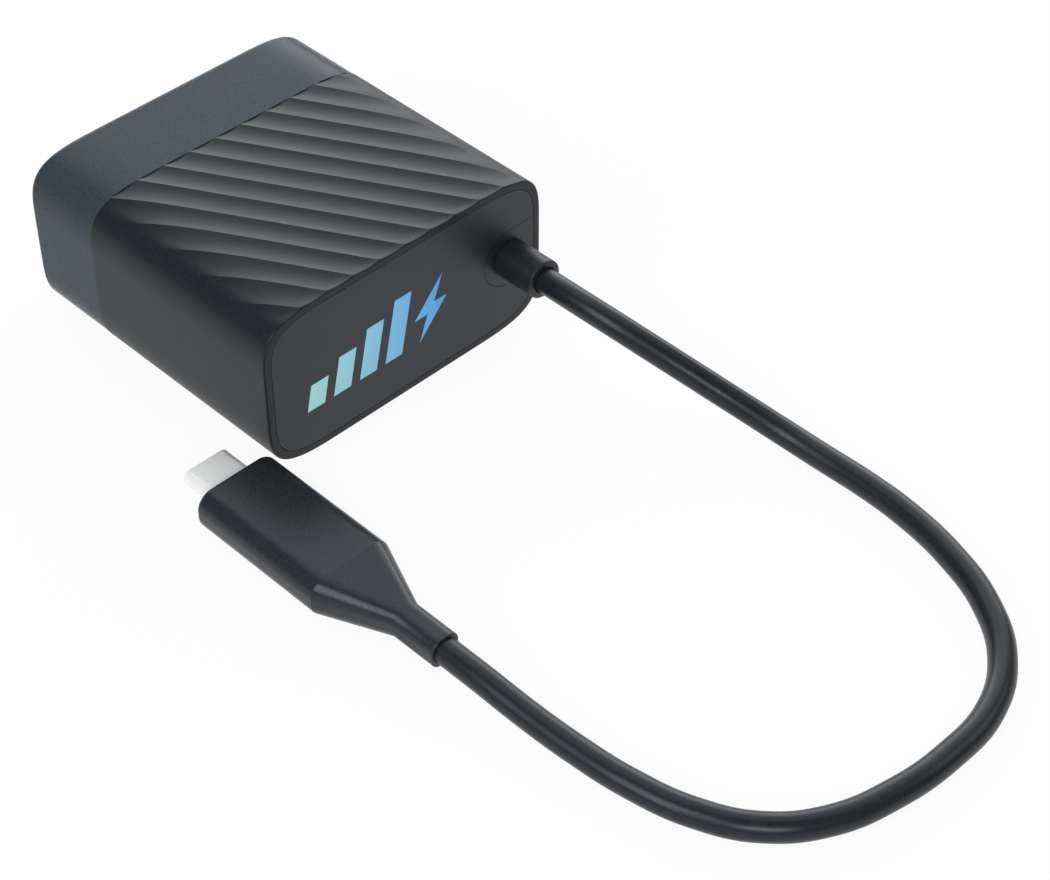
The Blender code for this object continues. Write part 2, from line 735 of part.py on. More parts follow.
def contact_row(side):
    """Comb of contact fingers on the mouth's upper or lower face, joined by a strip at the back."""
    level = plug_z + side * (MOUTH_HEIGHT / 2 - CONTACT_GAP - CONTACT_THICKNESS / 2)
    strip_y = insert_front_y - MOUTH_DEPTH + CONTACT_GAP
    half_row = (CONTACT_COUNT - 1) / 2 * CONTACT_PITCH + CONTACT_WIDTH / 2
    outline = [(plug_x + half_row, strip_y), (plug_x - half_row, strip_y)]
    for index in range(CONTACT_COUNT):
        x = plug_x + (index - (CONTACT_COUNT - 1) / 2) * CONTACT_PITCH
        near = x - CONTACT_WIDTH / 2
        far = x + CONTACT_WIDTH / 2
        if index > 0:
            outline.append((near, strip_y + CONTACT_STRIP))
        outline += [(near, strip_y + CONTACT_LENGTH), (far, strip_y + CONTACT_LENGTH)]
        if index < CONTACT_COUNT - 1:
            outline.append((far, strip_y + CONTACT_STRIP))
    return prism(outline, "Z", level - CONTACT_THICKNESS / 2, level + CONTACT_THICKNESS / 2)


def plug_board():
    """Small board behind the steel shell."""
    middle_y = board_slot_y - FIT_GAP - PLUG_BOARD_LENGTH / 2
    corner_room = PLUG_BOARD_THICKNESS
    return centred_box(
        (plug_x, middle_y, plug_z),
        (PLUG_BOARD_WIDTH - corner_room, PLUG_BOARD_LENGTH, PLUG_BOARD_THICKNESS))


# Rear cap and folding mains plug

bulkhead_left_x = HINGE_X - SCREW_ROOM - SCREW_HEAD - POCKET_WALL
bulkhead_right_x = scoop_x + scoop_half_width + POCKET_WALL
screw_places_x = (HINGE_X - SCREW_ROOM, HINGE_X + SCREW_ROOM)
blade_levels = (mid_z - BLADE_SPACING / 2, mid_z + BLADE_SPACING / 2)


def cap_skin():
    """Cup with a rounded rear edge and a tongue that enters the sleeve."""
    tongue_inset = SHELL_WALL + FIT_GAP
    ledge_y = seam_y + FIT_GAP + REAR_WALL
    rings = [
        body_ring(rear_y - REAR_WALL, SHELL_WALL),
        body_ring(ledge_y, SHELL_WALL),
        body_ring(ledge_y, tongue_inset + TONGUE_WALL),
        body_ring(tongue_end_y, tongue_inset + TONGUE_WALL),
        body_ring(tongue_end_y, tongue_inset),
        body_ring(seam_y + FIT_GAP, tongue_inset),
        body_ring(seam_y + FIT_GAP, 0.0),
    ]
    for step in range(ROUND_STEPS + 1):
        turn = math.pi / 2 * step / ROUND_STEPS
        rings.append(body_ring(
            rear_y - REAR_ROUND * (1 - math.sin(turn)), REAR_ROUND * (1 - math.cos(turn))))
    return loft(rings)


def rear_cap():
    """Cap with a bulkhead that takes the barrel, slots for the blades and a finger scoop."""
    past_y = rear_y + SCOOP_RADIUS
    cap = combined(cap_skin(), box(
        (bulkhead_left_x, bulkhead_y, mid_z - bulkhead_half),
        (bulkhead_right_x, rear_y - REAR_WALL / 2, mid_z + bulkhead_half)), "UNION")
    inside_y = bulkhead_y - POCKET_WALL
    cap = combined(cap, box(
        (HINGE_X - barrel_room, inside_y, mid_z - pocket_half),
        (HINGE_X + barrel_room, past_y, mid_z + pocket_half)))
    for level in blade_levels:
        cap = combined(cap, box(
            (HINGE_X - tail_room, inside_y, level - slot_half),
            (HINGE_X + tail_room, past_y, level + slot_half)))
        cap = combined(cap, box(
            (HINGE_X, blade_floor_y, level - slot_half),
            (slot_end_x, past_y, level + slot_half)))
    seat = TRUNNION_RADIUS + TRUNNION_GAP
    for side in (-1, 1):
        ends = sorted((mid_z, mid_z + side * trunnion_pocket_half))
        cap = combined(cap, box((HINGE_X - seat, inside_y, ends[0]), (HINGE_X + seat, hinge_y, ends[1])))
        cap = combined(cap, cylinder((HINGE_X, hinge_y), seat, "Z", *ends, BARREL_SIDES))
    scoop_centre = (scoop_x, rear_y - SCOOP_DEPTH + SCOOP_RADIUS)
    cap = combined(cap, cylinder(
        scoop_centre, SCOOP_RADIUS, "Z",
        mid_z - SCOOP_HEIGHT / 2, mid_z + SCOOP_HEIGHT / 2, 2 * BARREL_SIDES))
    for x in screw_places_x:
        cap = combined(cap, cylinder(
            (x, mid_z), SCREW_SHANK + FIT_GAP, "Y", inside_y, strip_top_y + SCREW_LENGTH + FIT_GAP))
    return cap


def plug_rotor():
    """Barrel with two trunnions and a slot through it for each blade."""
    profile = [
        (mid_z - trunnion_half, TRUNNION_RADIUS),
        (mid_z - barrel_half, TRUNNION_RADIUS),
        (mid_z - barrel_half, BARREL_RADIUS),
        (mid_z + barrel_half, BARREL_RADIUS),
        (mid_z + barrel_half, TRUNNION_RADIUS),
        (mid_z + trunnion_half, TRUNNION_RADIUS),
    ]
    barrel = turned((HINGE_X, hinge_y), profile, "Z", BARREL_SIDES)
    for level in blade_levels:
        barrel = combined(barrel, centred_box(
            (HINGE_X, hinge_y, level),
            (4 * BARREL_RADIUS, BLADE_SHANK + 2 * FIT_GAP, BLADE_THICKNESS + 2 * FIT_GAP)))
    return barrel


def blade(level):
    """Flat blade with a chamfered tip, a narrower shank in the barrel and a tail behind it."""
    shoulder = BARREL_RADIUS + FIT_GAP
    upper = [
        (-BLADE_TAIL, BLADE_TAIL_WIDTH / 2),
        (-BARREL_RADIUS, BLADE_SHANK / 2),
        (shoulder, BLADE_SHANK / 2),
        (shoulder, BLADE_WIDTH / 2),
        (BLADE_REACH - BLADE_CHAMFER, BLADE_WIDTH / 2),
        (BLADE_REACH, BLADE_WIDTH / 2 - BLADE_CHAMFER),
    ]
    half = upper + [(x, -y) for x, y in reversed(upper)]
    outline = [(HINGE_X + x, hinge_y + y) for x, y in half]
    return prism(outline, "Z", level - BLADE_THICKNESS / 2, level + BLADE_THICKNESS / 2)


def rotor_keeper():
    """Plate screwed behind the barrel, with an arm under each trunnion."""
    half_height = trunnion_pocket_half
    plate = box(
        (screw_places_x[0] - SCREW_HEAD - FIT_GAP, keeper_low_y, mid_z - half_height),
        (screw_places_x[1] + SCREW_HEAD + FIT_GAP, keeper_top_y, mid_z + half_height))
    arm_half = TRUNNION_RADIUS + TRUNNION_GAP - FIT_GAP
    for side in (-1, 1):
        ends = sorted((mid_z + side * (pocket_half + FIT_GAP / 2), mid_z + side * trunnion_half))
        plate = combined(plate, box(
            (HINGE_X - arm_half, keeper_low_y + KEEPER_THICKNESS / 2, ends[0]),
            (HINGE_X + arm_half, hinge_y - TRUNNION_RADIUS - FIT_GAP, ends[1])), "UNION")
    for level in blade_levels:
        plate = combined(plate, centred_box(
            (HINGE_X, keeper_low_y, level),
            (2 * TRUNNION_RADIUS, 4 * KEEPER_THICKNESS, CONTACT_STRIP_WIDTH + 2 * FIT_GAP)))
    for x in screw_places_x:
        plate = combined(plate, cylinder(
            (x, mid_z), SCREW_SHANK + FIT_GAP, "Y", keeper_low_y - FIT_GAP, keeper_top_y + FIT_GAP))
    return plate


def keeper_screw(x):
    """Pan-head screw that holds the keeper."""
    return turned((x, mid_z), [
        (strip_top_y - SCREW_HEAD_HEIGHT, SCREW_HEAD - SCREW_HEAD_HEIGHT / 2),
        (strip_top_y - SCREW_HEAD_HEIGHT / 2, SCREW_HEAD),
        (strip_top_y, SCREW_HEAD),
        (strip_top_y, SCREW_SHANK),
        (strip_top_y + SCREW_LENGTH, SCREW_SHANK),
    ], "Y")


def detent_spring():
    """Arched leaf on the keeper, close under the barrel."""
    half = barrel_room - 3 * FIT_GAP
    foot_y = keeper_top_y + FIT_GAP
    rise = hinge_y - BARREL_RADIUS - FIT_GAP - SPRING_THICKNESS - foot_y
    lower = []
    for step in range(-ROUND_STEPS, ROUND_STEPS + 1):
        share = step / ROUND_STEPS
        lower.append((HINGE_X + half * share, foot_y + rise * (1 - share ** 2)))
    upper = [(x, y + SPRING_THICKNESS) for x, y in reversed(lower)]
    return prism(lower + upper, "Z", mid_z - SPRING_WIDTH / 2, mid_z + SPRING_WIDTH / 2)


def contact_spring(level):
    """Bent strip under the keeper whose end meets a blade's tail."""
    half = SPRING_THICKNESS / 2
    tip_y = bulkhead_y
    outline = [
        (HINGE_X - half, strip_low_y),
        (HINGE_X + CONTACT_STRIP_FOOT, strip_low_y),
        (HINGE_X + CONTACT_STRIP_FOOT, strip_top_y),
        (HINGE_X + half, strip_top_y),
        (HINGE_X + half, tip_y),
        (HINGE_X - half, tip_y),
    ]
    strip = CONTACT_STRIP_WIDTH / 2
    return prism(outline, "Z", level - strip, level + strip)


def mains_lead_route(level, x):
    """From a contact strip's foot down to the board."""
    start_y = strip_low_y - FIT_GAP
    bend = start_y - lead_y
    drop = min(bend, (level - part_z) / 2)
    route = []
    for step in range(ROUND_STEPS + 1):
        turn = math.pi / 2 * step / ROUND_STEPS
        route.append(Vector((x, start_y - bend * math.sin(turn), level - drop * (1 - math.cos(turn)))))
    return [*route, Vector((x, lead_y, part_z))]


# Boards, spreaders and electronic parts

def main_board():
    """Board that carries the parts, above the insulation sheet."""
    return box((-board_half, board_front_y, board_low_z), (board_half, board_rear_y, board_top_z))


def flat_layer(low_z, thickness):
    """Sheet across the flat of the sleeve's floor or roof."""
    return box(
        (-spreader_half, board_front_y, low_z), (spreader_half, spreader_rear_y, low_z + thickness))


def transformer_core():
    """Ferrite core with two windows beside its middle leg."""
    half = core_width / 2
    core = box(
        (core_x - half, core_y - core_depth / 2, part_z),
        (core_x + half, core_y + core_depth / 2, tall_top_z))
    for side in (-1, 1):
        middle = core_x + side * (core_leg / 2 + core_window / 2)
        core = combined(core, box(
            (middle - core_window / 2, core_y - core_depth, part_z + CORE_YOKE),
            (middle + core_window / 2, core_y + core_depth, tall_top_z - CORE_YOKE)))
    return core


def transformer_winding():
    """Winding round the core's middle leg."""
    low = part_z + CORE_YOKE + LAYER_GAP
    high = tall_top_z - CORE_YOKE - LAYER_GAP
    width = core_leg + 2 * core_window - 2 * LAYER_GAP
    depth = core_depth + 2 * winding_overhang
    winding = prism(rounded((core_x, core_y), width, depth, winding_overhang), "Z", low, high)
    bore = (core_leg + 2 * LAYER_GAP, core_depth + 2 * LAYER_GAP, 2 * (high - low))
    return combined(winding, centred_box((core_x, core_y, (low + high) / 2), bore))


def can(x, y, radius, top_z):
    """Capacitor can with a rolled groove near its foot and rounded ends."""
    roll = radius / 10
    return turned((x, y), [
        (part_z, radius - roll),
        (part_z + roll, radius),
        (part_z + 4 * roll, radius),
        (part_z + 5 * roll, radius - roll),
        (part_z + 6 * roll, radius),
        (top_z - roll, radius),
        (top_z, radius - roll),
    ], "Z")


bulk_radius = BULK_RADIUS_SHARE * board_width
bulk_right_x = board_half - bulk_radius
bulk_left_x = bulk_right_x - 2 * bulk_radius - ROW_ROOM / 2
bulk_rear_y = rear_row_y - bulk_radius
bulk_front_y = bulk_rear_y - 2 * bulk_radius - ROW_ROOM / 2
bulk_places = ((bulk_left_x, bulk_rear_y), (bulk_right_x, bulk_rear_y), (bulk_right_x, bulk_front_y))

choke_width = CHOKE_WIDTH_SHARE * board_width
choke_radius = CHOKE_RADIUS_SHARE * board_depth
choke_outer = choke_radius - LAYER_GAP - CHOKE_WIRE
choke_inner = CHOKE_BORE_SHARE * board_depth
choke_half = choke_width / 2 + LAYER_GAP + CHOKE_WIRE
choke_x = -board_half + choke_half
choke_centre = (rear_row_y - choke_radius, part_z + choke_radius)


def choke_core():
    """Ferrite ring that stands on edge."""
    low = choke_x - choke_width / 2
    high = choke_x + choke_width / 2
    return turned(choke_centre, [
        (low, choke_outer), (high, choke_outer), (high, choke_inner), (low, choke_inner),
    ], "X", BARREL_SIDES, closed=True)


def choke_winding(side):
    """Winding on one side of the ring."""
    inner = choke_inner - LAYER_GAP - CHOKE_WIRE
    outline = []
    for radius, order in ((choke_radius, 1), (inner, -1)):
        for step in range(-ROUND_STEPS, ROUND_STEPS + 1):
            turn = math.pi * side + order * step / ROUND_STEPS * CHOKE_SPREAD
            outline.append((
                choke_centre[0] + radius * math.cos(turn), choke_centre[1] + radius * math.sin(turn)))
    coil = prism(outline, "X", choke_x - choke_half, choke_x + choke_half)
    low = choke_x - choke_width / 2 - LAYER_GAP
    high = choke_x + choke_width / 2 + LAYER_GAP
    room = turned(choke_centre, [
        (low, choke_outer + LAYER_GAP), (high, choke_outer + LAYER_GAP),
        (high, choke_inner - LAYER_GAP), (low, choke_inner - LAYER_GAP),
    ], "X", BARREL_SIDES, closed=True)
    return combined(coil, room)


x_capacitor_size = Vector((
    X_CAPACITOR_WIDTH_SHARE * board_width, X_CAPACITOR_DEPTH_SHARE * board_depth, X_CAPACITOR_HEIGHT))
fuse_size = Vector((FUSE_WIDTH_SHARE * board_width, FUSE_DEPTH_SHARE * board_depth, FUSE_HEIGHT))
x_capacitor_x = choke_x + choke_half + ROW_ROOM / 2 + x_capacitor_size.x / 2
fuse_x = x_capacitor_x + x_capacitor_size.x / 2 + ROW_ROOM / 2 + fuse_size.x / 2


def standing_block(x, rear, size):
    """Block that stands on the board with its rear side at a place."""
    centre = (x, rear - size.y / 2, part_z + size.z / 2)
    return eased(centred_box(centre, size), BLOCK_EDGE)


def disc(x, y, radius, thickness):
    """Coated disc that stands on edge across the board."""
    rim = thickness / 4
    return turned((y, part_z + radius), [
        (x - thickness / 2, radius - rim),
        (x - thickness / 2 + rim, radius),
        (x + thickness / 2 - rim, radius),
        (x + thickness / 2, radius - rim),
    ], "X")


def varistor():
    """Surge disc in front of the left-hand can."""
    radius = VARISTOR_RADIUS_SHARE * board_depth
    thickness = VARISTOR_THICKNESS_SHARE * board_width
    y = bulk_rear_y - bulk_radius - ROW_ROOM / 2 - radius
    return disc(middle_x + thickness / 2, y, radius, thickness)


def y_capacitor():
    """Safety capacitor behind the output board."""
    radius = Y_CAPACITOR_RADIUS_SHARE * board_depth
    thickness = Y_CAPACITOR_THICKNESS_SHARE * board_width
    y = output_front_y + SIDE_BOARD_THICKNESS + ROW_ROOM + radius
    return disc(middle_x + thickness / 2, y, radius, thickness)


def core_thermal_pad():
    """Soft pad between the transformer and the upper spreader."""
    return box(
        (core_x - core_width / 2, core_y - core_depth / 2, pad_low_z),
        (core_x + core_width / 2, core_y + core_depth / 2, pad_low_z + PAD_THICKNESS))


def can_thermal_pad():
    """Soft pad between the capacitor cans and the upper spreader."""
    return box(
        (bulk_right_x - bulk_radius, bulk_front_y - bulk_radius, pad_low_z),
        (spreader_half, spreader_rear_y, pad_low_z + PAD_THICKNESS))


def control_board():
    """Upright board along the left side."""
    centre = (
        -board_half + SIDE_BOARD_THICKNESS / 2, core_y, part_z + CONTROL_BOARD_HEIGHT / 2)
    length = core_depth + 2 * winding_overhang
    return centred_box(centre, (SIDE_BOARD_THICKNESS, length, CONTROL_BOARD_HEIGHT))


def power_switch(y):
    """Flat transistor on the control board's inner face."""
    centre = (side_board_x + LAYER_GAP + SWITCH_THICKNESS / 2, y, part_z + CONTROL_BOARD_HEIGHT / 2)
    return centred_box(centre, (SWITCH_THICKNESS, SWITCH_DEPTH_SHARE * board_depth, SWITCH_HEIGHT))


output_right_x = gland_x + WIRE_PITCH + WIRE_RADIUS
output_front_y = board_front_y + LAYER_GAP
output_can_radius = OUTPUT_CAN_RADIUS_SHARE * board_width
output_can_pitch = OUTPUT_CAN_PITCH_SHARE * board_width
output_can_y = output_front_y + SIDE_BOARD_THICKNESS + LAYER_GAP + output_can_radius
output_can_x = board_half - output_can_radius


def output_board():
    """Upright board that the cable's wires reach."""
    return box(
        (output_right_x - OUTPUT_BOARD_WIDTH, output_front_y, part_z),
        (output_right_x, output_front_y + SIDE_BOARD_THICKNESS, part_z + OUTPUT_BOARD_HEIGHT))


def output_wire(across, up):
    """Short wire from the strain relief to the output board."""
    centre = (gland_x + across * WIRE_PITCH / 2, mid_z + up * WIRE_PITCH / 2)
    return cylinder(
        centre, WIRE_RADIUS, "Y", flange_end_y + FIT_GAP, output_front_y - FIT_GAP, SMALL_SIDES // 2)


# Assembly

for existing in list(bpy.data.objects):
    bpy.data.objects.remove(existing, do_unlink=True)

black_plastic = finish("black_plastic", (0.022, 0.023, 0.025), 0.5)
slate_plastic = finish("slate_plastic", (0.055, 0.070, 0.087), 0.5)
panel_plastic = finish("panel_plastic", (0.026, 0.028, 0.030), 0.55)
cable_jacket = finish("cable_jacket", (0.016, 0.017, 0.019), 0.45)
plug_rubber = finish("plug_rubber", (0.020, 0.021, 0.023), 0.5)
shell_steel = finish("shell_steel", (0.80, 0.81, 0.82), 0.25, 1.0)
blade_plate = finish("blade_plate", (0.72, 0.70, 0.66), 0.28, 1.0)
gold_plate = finish("gold_plate", (0.83, 0.62, 0.28), 0.25, 1.0)
spring_bronze = finish("spring_bronze", (0.62, 0.42, 0.22), 0.3, 1.0)
screw_steel = finish("screw_steel", (0.45, 0.46, 0.48), 0.3, 1.0)
spreader_sheet = finish("spreader_sheet", (0.78, 0.79, 0.80), 0.35, 1.0)
film = finish("film", (0.05, 0.05, 0.05), 0.3)
pad_rubber = finish("pad_rubber", (0.45, 0.52, 0.60), 0.8)
board_laminate = finish("board_laminate", (0.02, 0.11, 0.05), 0.4)
ferrite = finish("ferrite", (0.06, 0.06, 0.065), 0.6)
winding_tape = finish("winding_tape", (0.75, 0.60, 0.10), 0.4)
copper_wire = finish("copper_wire", (0.62, 0.26, 0.12), 0.3, 1.0)
can_sleeve = finish("can_sleeve", (0.03, 0.05, 0.12), 0.35)
polymer_can = finish("polymer_can", (0.70, 0.71, 0.73), 0.3, 1.0)
film_block = finish("film_block", (0.65, 0.50, 0.05), 0.4)
blue_coat = finish("blue_coat", (0.05, 0.16, 0.42), 0.45)
chip_resin = finish("chip_resin", (0.02, 0.02, 0.02), 0.5)
wire_jacket = finish("wire_jacket", (0.35, 0.03, 0.03), 0.45)

hinge = bpy.data.objects.new("folding_plug_hinge", None)
hinge.location = (HINGE_X, hinge_y, mid_z)
bpy.context.scene.collection.objects.link(hinge)

add("main_shell", main_shell(), black_plastic)
add("rear_cap", rear_cap(), slate_plastic)
add("front_panel", front_panel(), panel_plastic)
add("gland_insert", gland_insert(), panel_plastic)
add("strain_relief", strain_relief(), cable_jacket)

cable_start = Vector((gland_x, relief_end_y + cable_inside, mid_z))
cable_end = Vector((plug_x, plug_back_y + cable_inside, plug_z))
cable_points = carried_route([Vector(point) * MM for point in CABLE_ROUTE], cable_start, cable_end)
add_tube("output_cable", smooth_route(cable_points, CABLE_STEP), cable_radius, cable_jacket, CABLE_ROUNDNESS)

add("plug_overmould", plug_overmould(), plug_rubber)
add("plug_shell", plug_shell(), shell_steel)
add("plug_insert", plug_insert(), chip_resin)
add("upper_contacts", contact_row(1), gold_plate)
add("lower_contacts", contact_row(-1), gold_plate)
add("plug_board", plug_board(), board_laminate)

add("plug_rotor", plug_rotor(), black_plastic, hinge)
add("neutral_blade", blade(blade_levels[0]), blade_plate, hinge)
add("live_blade", blade(blade_levels[1]), blade_plate, hinge)
add("rotor_keeper", rotor_keeper(), black_plastic)
for number, place in enumerate(screw_places_x, 1):
    add(f"keeper_screw_{number}", keeper_screw(place), screw_steel)
add("detent_spring", detent_spring(), spring_bronze)
lead_places_x = (HINGE_X + 3 * LEAD_RADIUS + LEAD_ROOM / 2, HINGE_X + LEAD_RADIUS)
for pole, level, place in zip(("neutral", "live"), blade_levels, lead_places_x):
    add(f"{pole}_contact_spring", contact_spring(level), spring_bronze)
    add_tube(f"{pole}_lead", mains_lead_route(level, place), LEAD_RADIUS, wire_jacket, LEAD_ROUNDNESS)

add("main_board", main_board(), board_laminate)
add("insulation_sheet", flat_layer(sheet_low_z, SHEET_THICKNESS), film)
add("lower_heat_spreader", flat_layer(spreader_low_z, SPREADER_THICKNESS), spreader_sheet)
add("upper_heat_spreader", flat_layer(upper_spreader_z, SPREADER_THICKNESS), spreader_sheet)
add("core_thermal_pad", core_thermal_pad(), pad_rubber)
add("can_thermal_pad", can_thermal_pad(), pad_rubber)
add("transformer_core", transformer_core(), ferrite)
add("transformer_winding", transformer_winding(), winding_tape)
for number, place in enumerate(bulk_places, 1):
    add(f"bulk_capacitor_{number}", can(*place, bulk_radius, tall_top_z), can_sleeve)
add("choke_core", choke_core(), ferrite)
for number, side in enumerate((0, 1), 1):
    add(f"choke_winding_{number}", choke_winding(side), copper_wire)
add("x_capacitor", standing_block(x_capacitor_x, rear_row_y, x_capacitor_size), film_block)
add("fuse", standing_block(fuse_x, rear_row_y, fuse_size), chip_resin)
add("bridge_rectifier", standing_block(core_x, rectifier_y, rectifier_size), chip_resin)
add("varistor", varistor(), blue_coat)
add("y_capacitor", y_capacitor(), blue_coat)
add("control_board", control_board(), board_laminate)
switch_pitch = SWITCH_PITCH_SHARE * board_depth
for number, side in enumerate((-1, 1), 1):
    add(f"power_switch_{number}", power_switch(core_y + side * switch_pitch / 2), chip_resin)
add("output_board", output_board(), board_laminate)
for number, place in enumerate((output_can_x - output_can_pitch, output_can_x), 1):
    small_can = can(place, output_can_y, output_can_radius, part_z + OUTPUT_CAN_HEIGHT)
    add(f"output_capacitor_{number}", small_can, polymer_can)
for number, (across, up) in enumerate(((-1, -1), (1, -1), (-1, 1), (1, 1)), 1):
    add(f"output_wire_{number}", output_wire(across, up), wire_jacket)
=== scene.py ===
"""Looks of a wall power adapter with a captive output lead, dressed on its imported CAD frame.

Everything is in metres in the CAD frame: +Z up, the lead leaves towards -Y and the mains side
faces +Y. Each sub-assembly is a class that models its pieces and gives them their finish.
"""

import logging
import math
from abc import ABC, abstractmethod
from collections.abc import Callable, Iterator, Sequence
from dataclasses import dataclass
from enum import Enum
from functools import cached_property

import bmesh
import bpy
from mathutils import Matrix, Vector


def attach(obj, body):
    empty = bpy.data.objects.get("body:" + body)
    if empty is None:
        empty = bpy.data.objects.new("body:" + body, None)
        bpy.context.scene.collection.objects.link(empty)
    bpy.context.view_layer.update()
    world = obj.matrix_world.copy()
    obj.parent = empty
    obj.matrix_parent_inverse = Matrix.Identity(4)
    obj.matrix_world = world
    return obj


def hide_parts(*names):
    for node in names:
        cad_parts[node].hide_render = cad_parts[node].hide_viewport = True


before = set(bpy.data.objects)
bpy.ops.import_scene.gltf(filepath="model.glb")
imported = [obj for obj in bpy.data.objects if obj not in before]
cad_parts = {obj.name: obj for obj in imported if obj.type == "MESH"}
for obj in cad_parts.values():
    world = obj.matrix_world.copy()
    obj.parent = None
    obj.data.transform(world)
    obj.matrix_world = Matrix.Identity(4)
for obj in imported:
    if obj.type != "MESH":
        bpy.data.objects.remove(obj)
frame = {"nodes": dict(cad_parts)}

log = logging.getLogger("adapter")

MM = 0.001
CABLE_DIAMETER = 4.2 * MM

# Places nearer than TOUCH count as one place, and points nearer than MERGE become one point.
TOUCH = 0.01 * MM
MERGE = 0.0005 * MM

# Smooth shading: edges sharper than the angle stay sharp, and large faces rule by the weight.
SMOOTH_ANGLE = 30.0
FLAT_WEIGHT = 80

# A flat plate starts as a disc of this radius, and a Wave texture of scale 1 has this pitch.
DISC_RADIUS = 10.0 * MM
WAVE_PITCH = math.pi / 10.0

# Sockets of a Mix node for colours, by number because other kinds of value share their names.
MIX_SHARE = 0
MIX_FIRST = 6
MIX_SECOND = 7
MIX_RESULT = 2

Point = tuple[float, float, float]
Flat = tuple[float, float]
Colour = tuple[float, float, float]
Sockets = dict[str | int, object]
EdgeTest = Callable[[Vector, Vector], bool]


class Body(Enum):
    """Bodies of the frame that pieces ride on."""

    CHARGER = "charger"
    FOLDING_PLUG = "folding_plug"


class Axis(Enum):
    """Axes that a piece or a pattern can lie along."""

    X = 0
    Y = 1
    Z = 2

    def vector(self, length: float, other: float = 0.0) -> Point:
        """Vector with a length along the axis and another along the rest."""
        return tuple(length if axis is self else other for axis in Axis)


class Join(Enum):
    """Ways of putting a tool and a piece together."""

    CUT = "DIFFERENCE"
    ADD = "UNION"
    KEEP = "INTERSECT"


# Shader graphs


@dataclass(frozen=True)
class Signal:
    """Output of a shader node that Python's operators work on."""

    graph: "Graph"
    socket: bpy.types.NodeSocket

    def __add__(self, other: "Signal | float") -> "Signal":
        """Sum."""
        return self.graph.math("ADD", self, other)

    def __sub__(self, other: "Signal | float") -> "Signal":
        """Difference."""
        return self.graph.math("SUBTRACT", self, other)

    def __mul__(self, other: "Signal | float") -> "Signal":
        """Product."""
        return self.graph.math("MULTIPLY", self, other)

    def __rsub__(self, other: float) -> "Signal":
        """Difference from a number."""
        return self.graph.math("SUBTRACT", other, self)

    __radd__ = __add__
    __rmul__ = __mul__


class Graph:
    """Node tree of one material."""

    def __init__(self, name: str) -> None:
        """Makes the material and empties its tree.

        Args:
            name: Name of the material.
        """
        self.material = bpy.data.materials.new(name)
        self.material.use_nodes = True
        self.tree = self.material.node_tree
        self.tree.nodes.clear()

    def node(self, kind: str, inputs: Sockets, **settings: object) -> bpy.types.Node:
        """Adds a node.

        Args:
            kind: Type of the node.
            inputs: Values or signals for its sockets.
            settings: Properties of the node, which are set first.

        Returns:
            The node.
        """
        node = self.tree.nodes.new(kind)
        for name, value in settings.items():
            setattr(node, name, value)
        for name, value in inputs.items():
            if isinstance(value, Signal):
                self.tree.links.new(value.socket, node.inputs[name])
            else:
                node.inputs[name].default_value = value
        return node

    def signal(
        self, kind: str, inputs: Sockets, output: str | int = 0, **settings: object
    ) -> Signal:
        """Adds a node and gives one of its outputs."""
        return Signal(self, self.node(kind, inputs, **settings).outputs[output])

    def math(self, operation: str, first: Signal | float, second: Signal | float) -> Signal:
        """Result of a Math node on two values."""
        return self.signal("ShaderNodeMath", {0: first, 1: second}, operation=operation)

    def place(self, scale: Point = (1.0, 1.0, 1.0)) -> Signal:
        """Object coordinates, stretched by a factor along each axis."""
        coordinates = self.signal("ShaderNodeTexCoord", {}, "Object")
        return self.signal("ShaderNodeMapping", {"Vector": coordinates, "Scale": scale})

    def noise(self, place: Signal, size: float, detail: float = 2.0) -> Signal:
        """Cloudy pattern whose lumps have a size in metres."""
        inputs = {"Vector": place, "Scale": 1.0 / size, "Detail": detail}
        return self.signal("ShaderNodeTexNoise", inputs)

    def scatter(self, place: Signal, size: float, output: str) -> Signal:
        """Scattered cells of a size in metres: the Distance from a middle, or a Color for each."""
        inputs = {"Vector": place, "Scale": 1.0 / size}
        return self.signal("ShaderNodeTexVoronoi", inputs, output)

    def bands(self, place: Signal, pitch: float, axis: Axis, shake: float) -> Signal:
        """Stripes that follow each other along an axis at a pitch in metres, and waver."""
        inputs = {"Vector": place, "Scale": WAVE_PITCH / pitch, "Distortion": shake}
        return self.signal(
            "ShaderNodeTexWave", inputs, "Fac", bands_direction=axis.name, wave_profile="SIN")

    def blend(self, share: Signal, first: Signal | Colour, second: Colour) -> Signal:
        """Mix of two colours, where a share of 0 is the first."""
        start = first if isinstance(first, Signal) else (*first, 1.0)
        inputs = {MIX_SHARE: share, MIX_FIRST: start, MIX_SECOND: (*second, 1.0)}
        return self.signal("ShaderNodeMix", inputs, MIX_RESULT, data_type="RGBA")

    def relief(self, height: Signal, depth: float) -> Signal:
        """Normal that a height pattern gives, with a depth in metres."""
        return self.signal("ShaderNodeBump", {"Height": height, "Distance": depth, "Strength": 1.0})

    def surface(self, inputs: Sockets) -> bpy.types.Material:
        """Ends the graph with a Principled surface and gives its material."""
        return self.end(self.signal("ShaderNodeBsdfPrincipled", inputs))

    def end(self, shader: Signal) -> bpy.types.Material:
        """Ends the graph with a shader and gives its material."""
        self.node("ShaderNodeOutputMaterial", {"Surface": shader})
        return self.material


# Finishes


def shade(colour: Colour, factor: float) -> Colour:
    """Colour made darker or lighter by a factor."""
    return tuple(min(part * factor, 1.0) for part in colour)


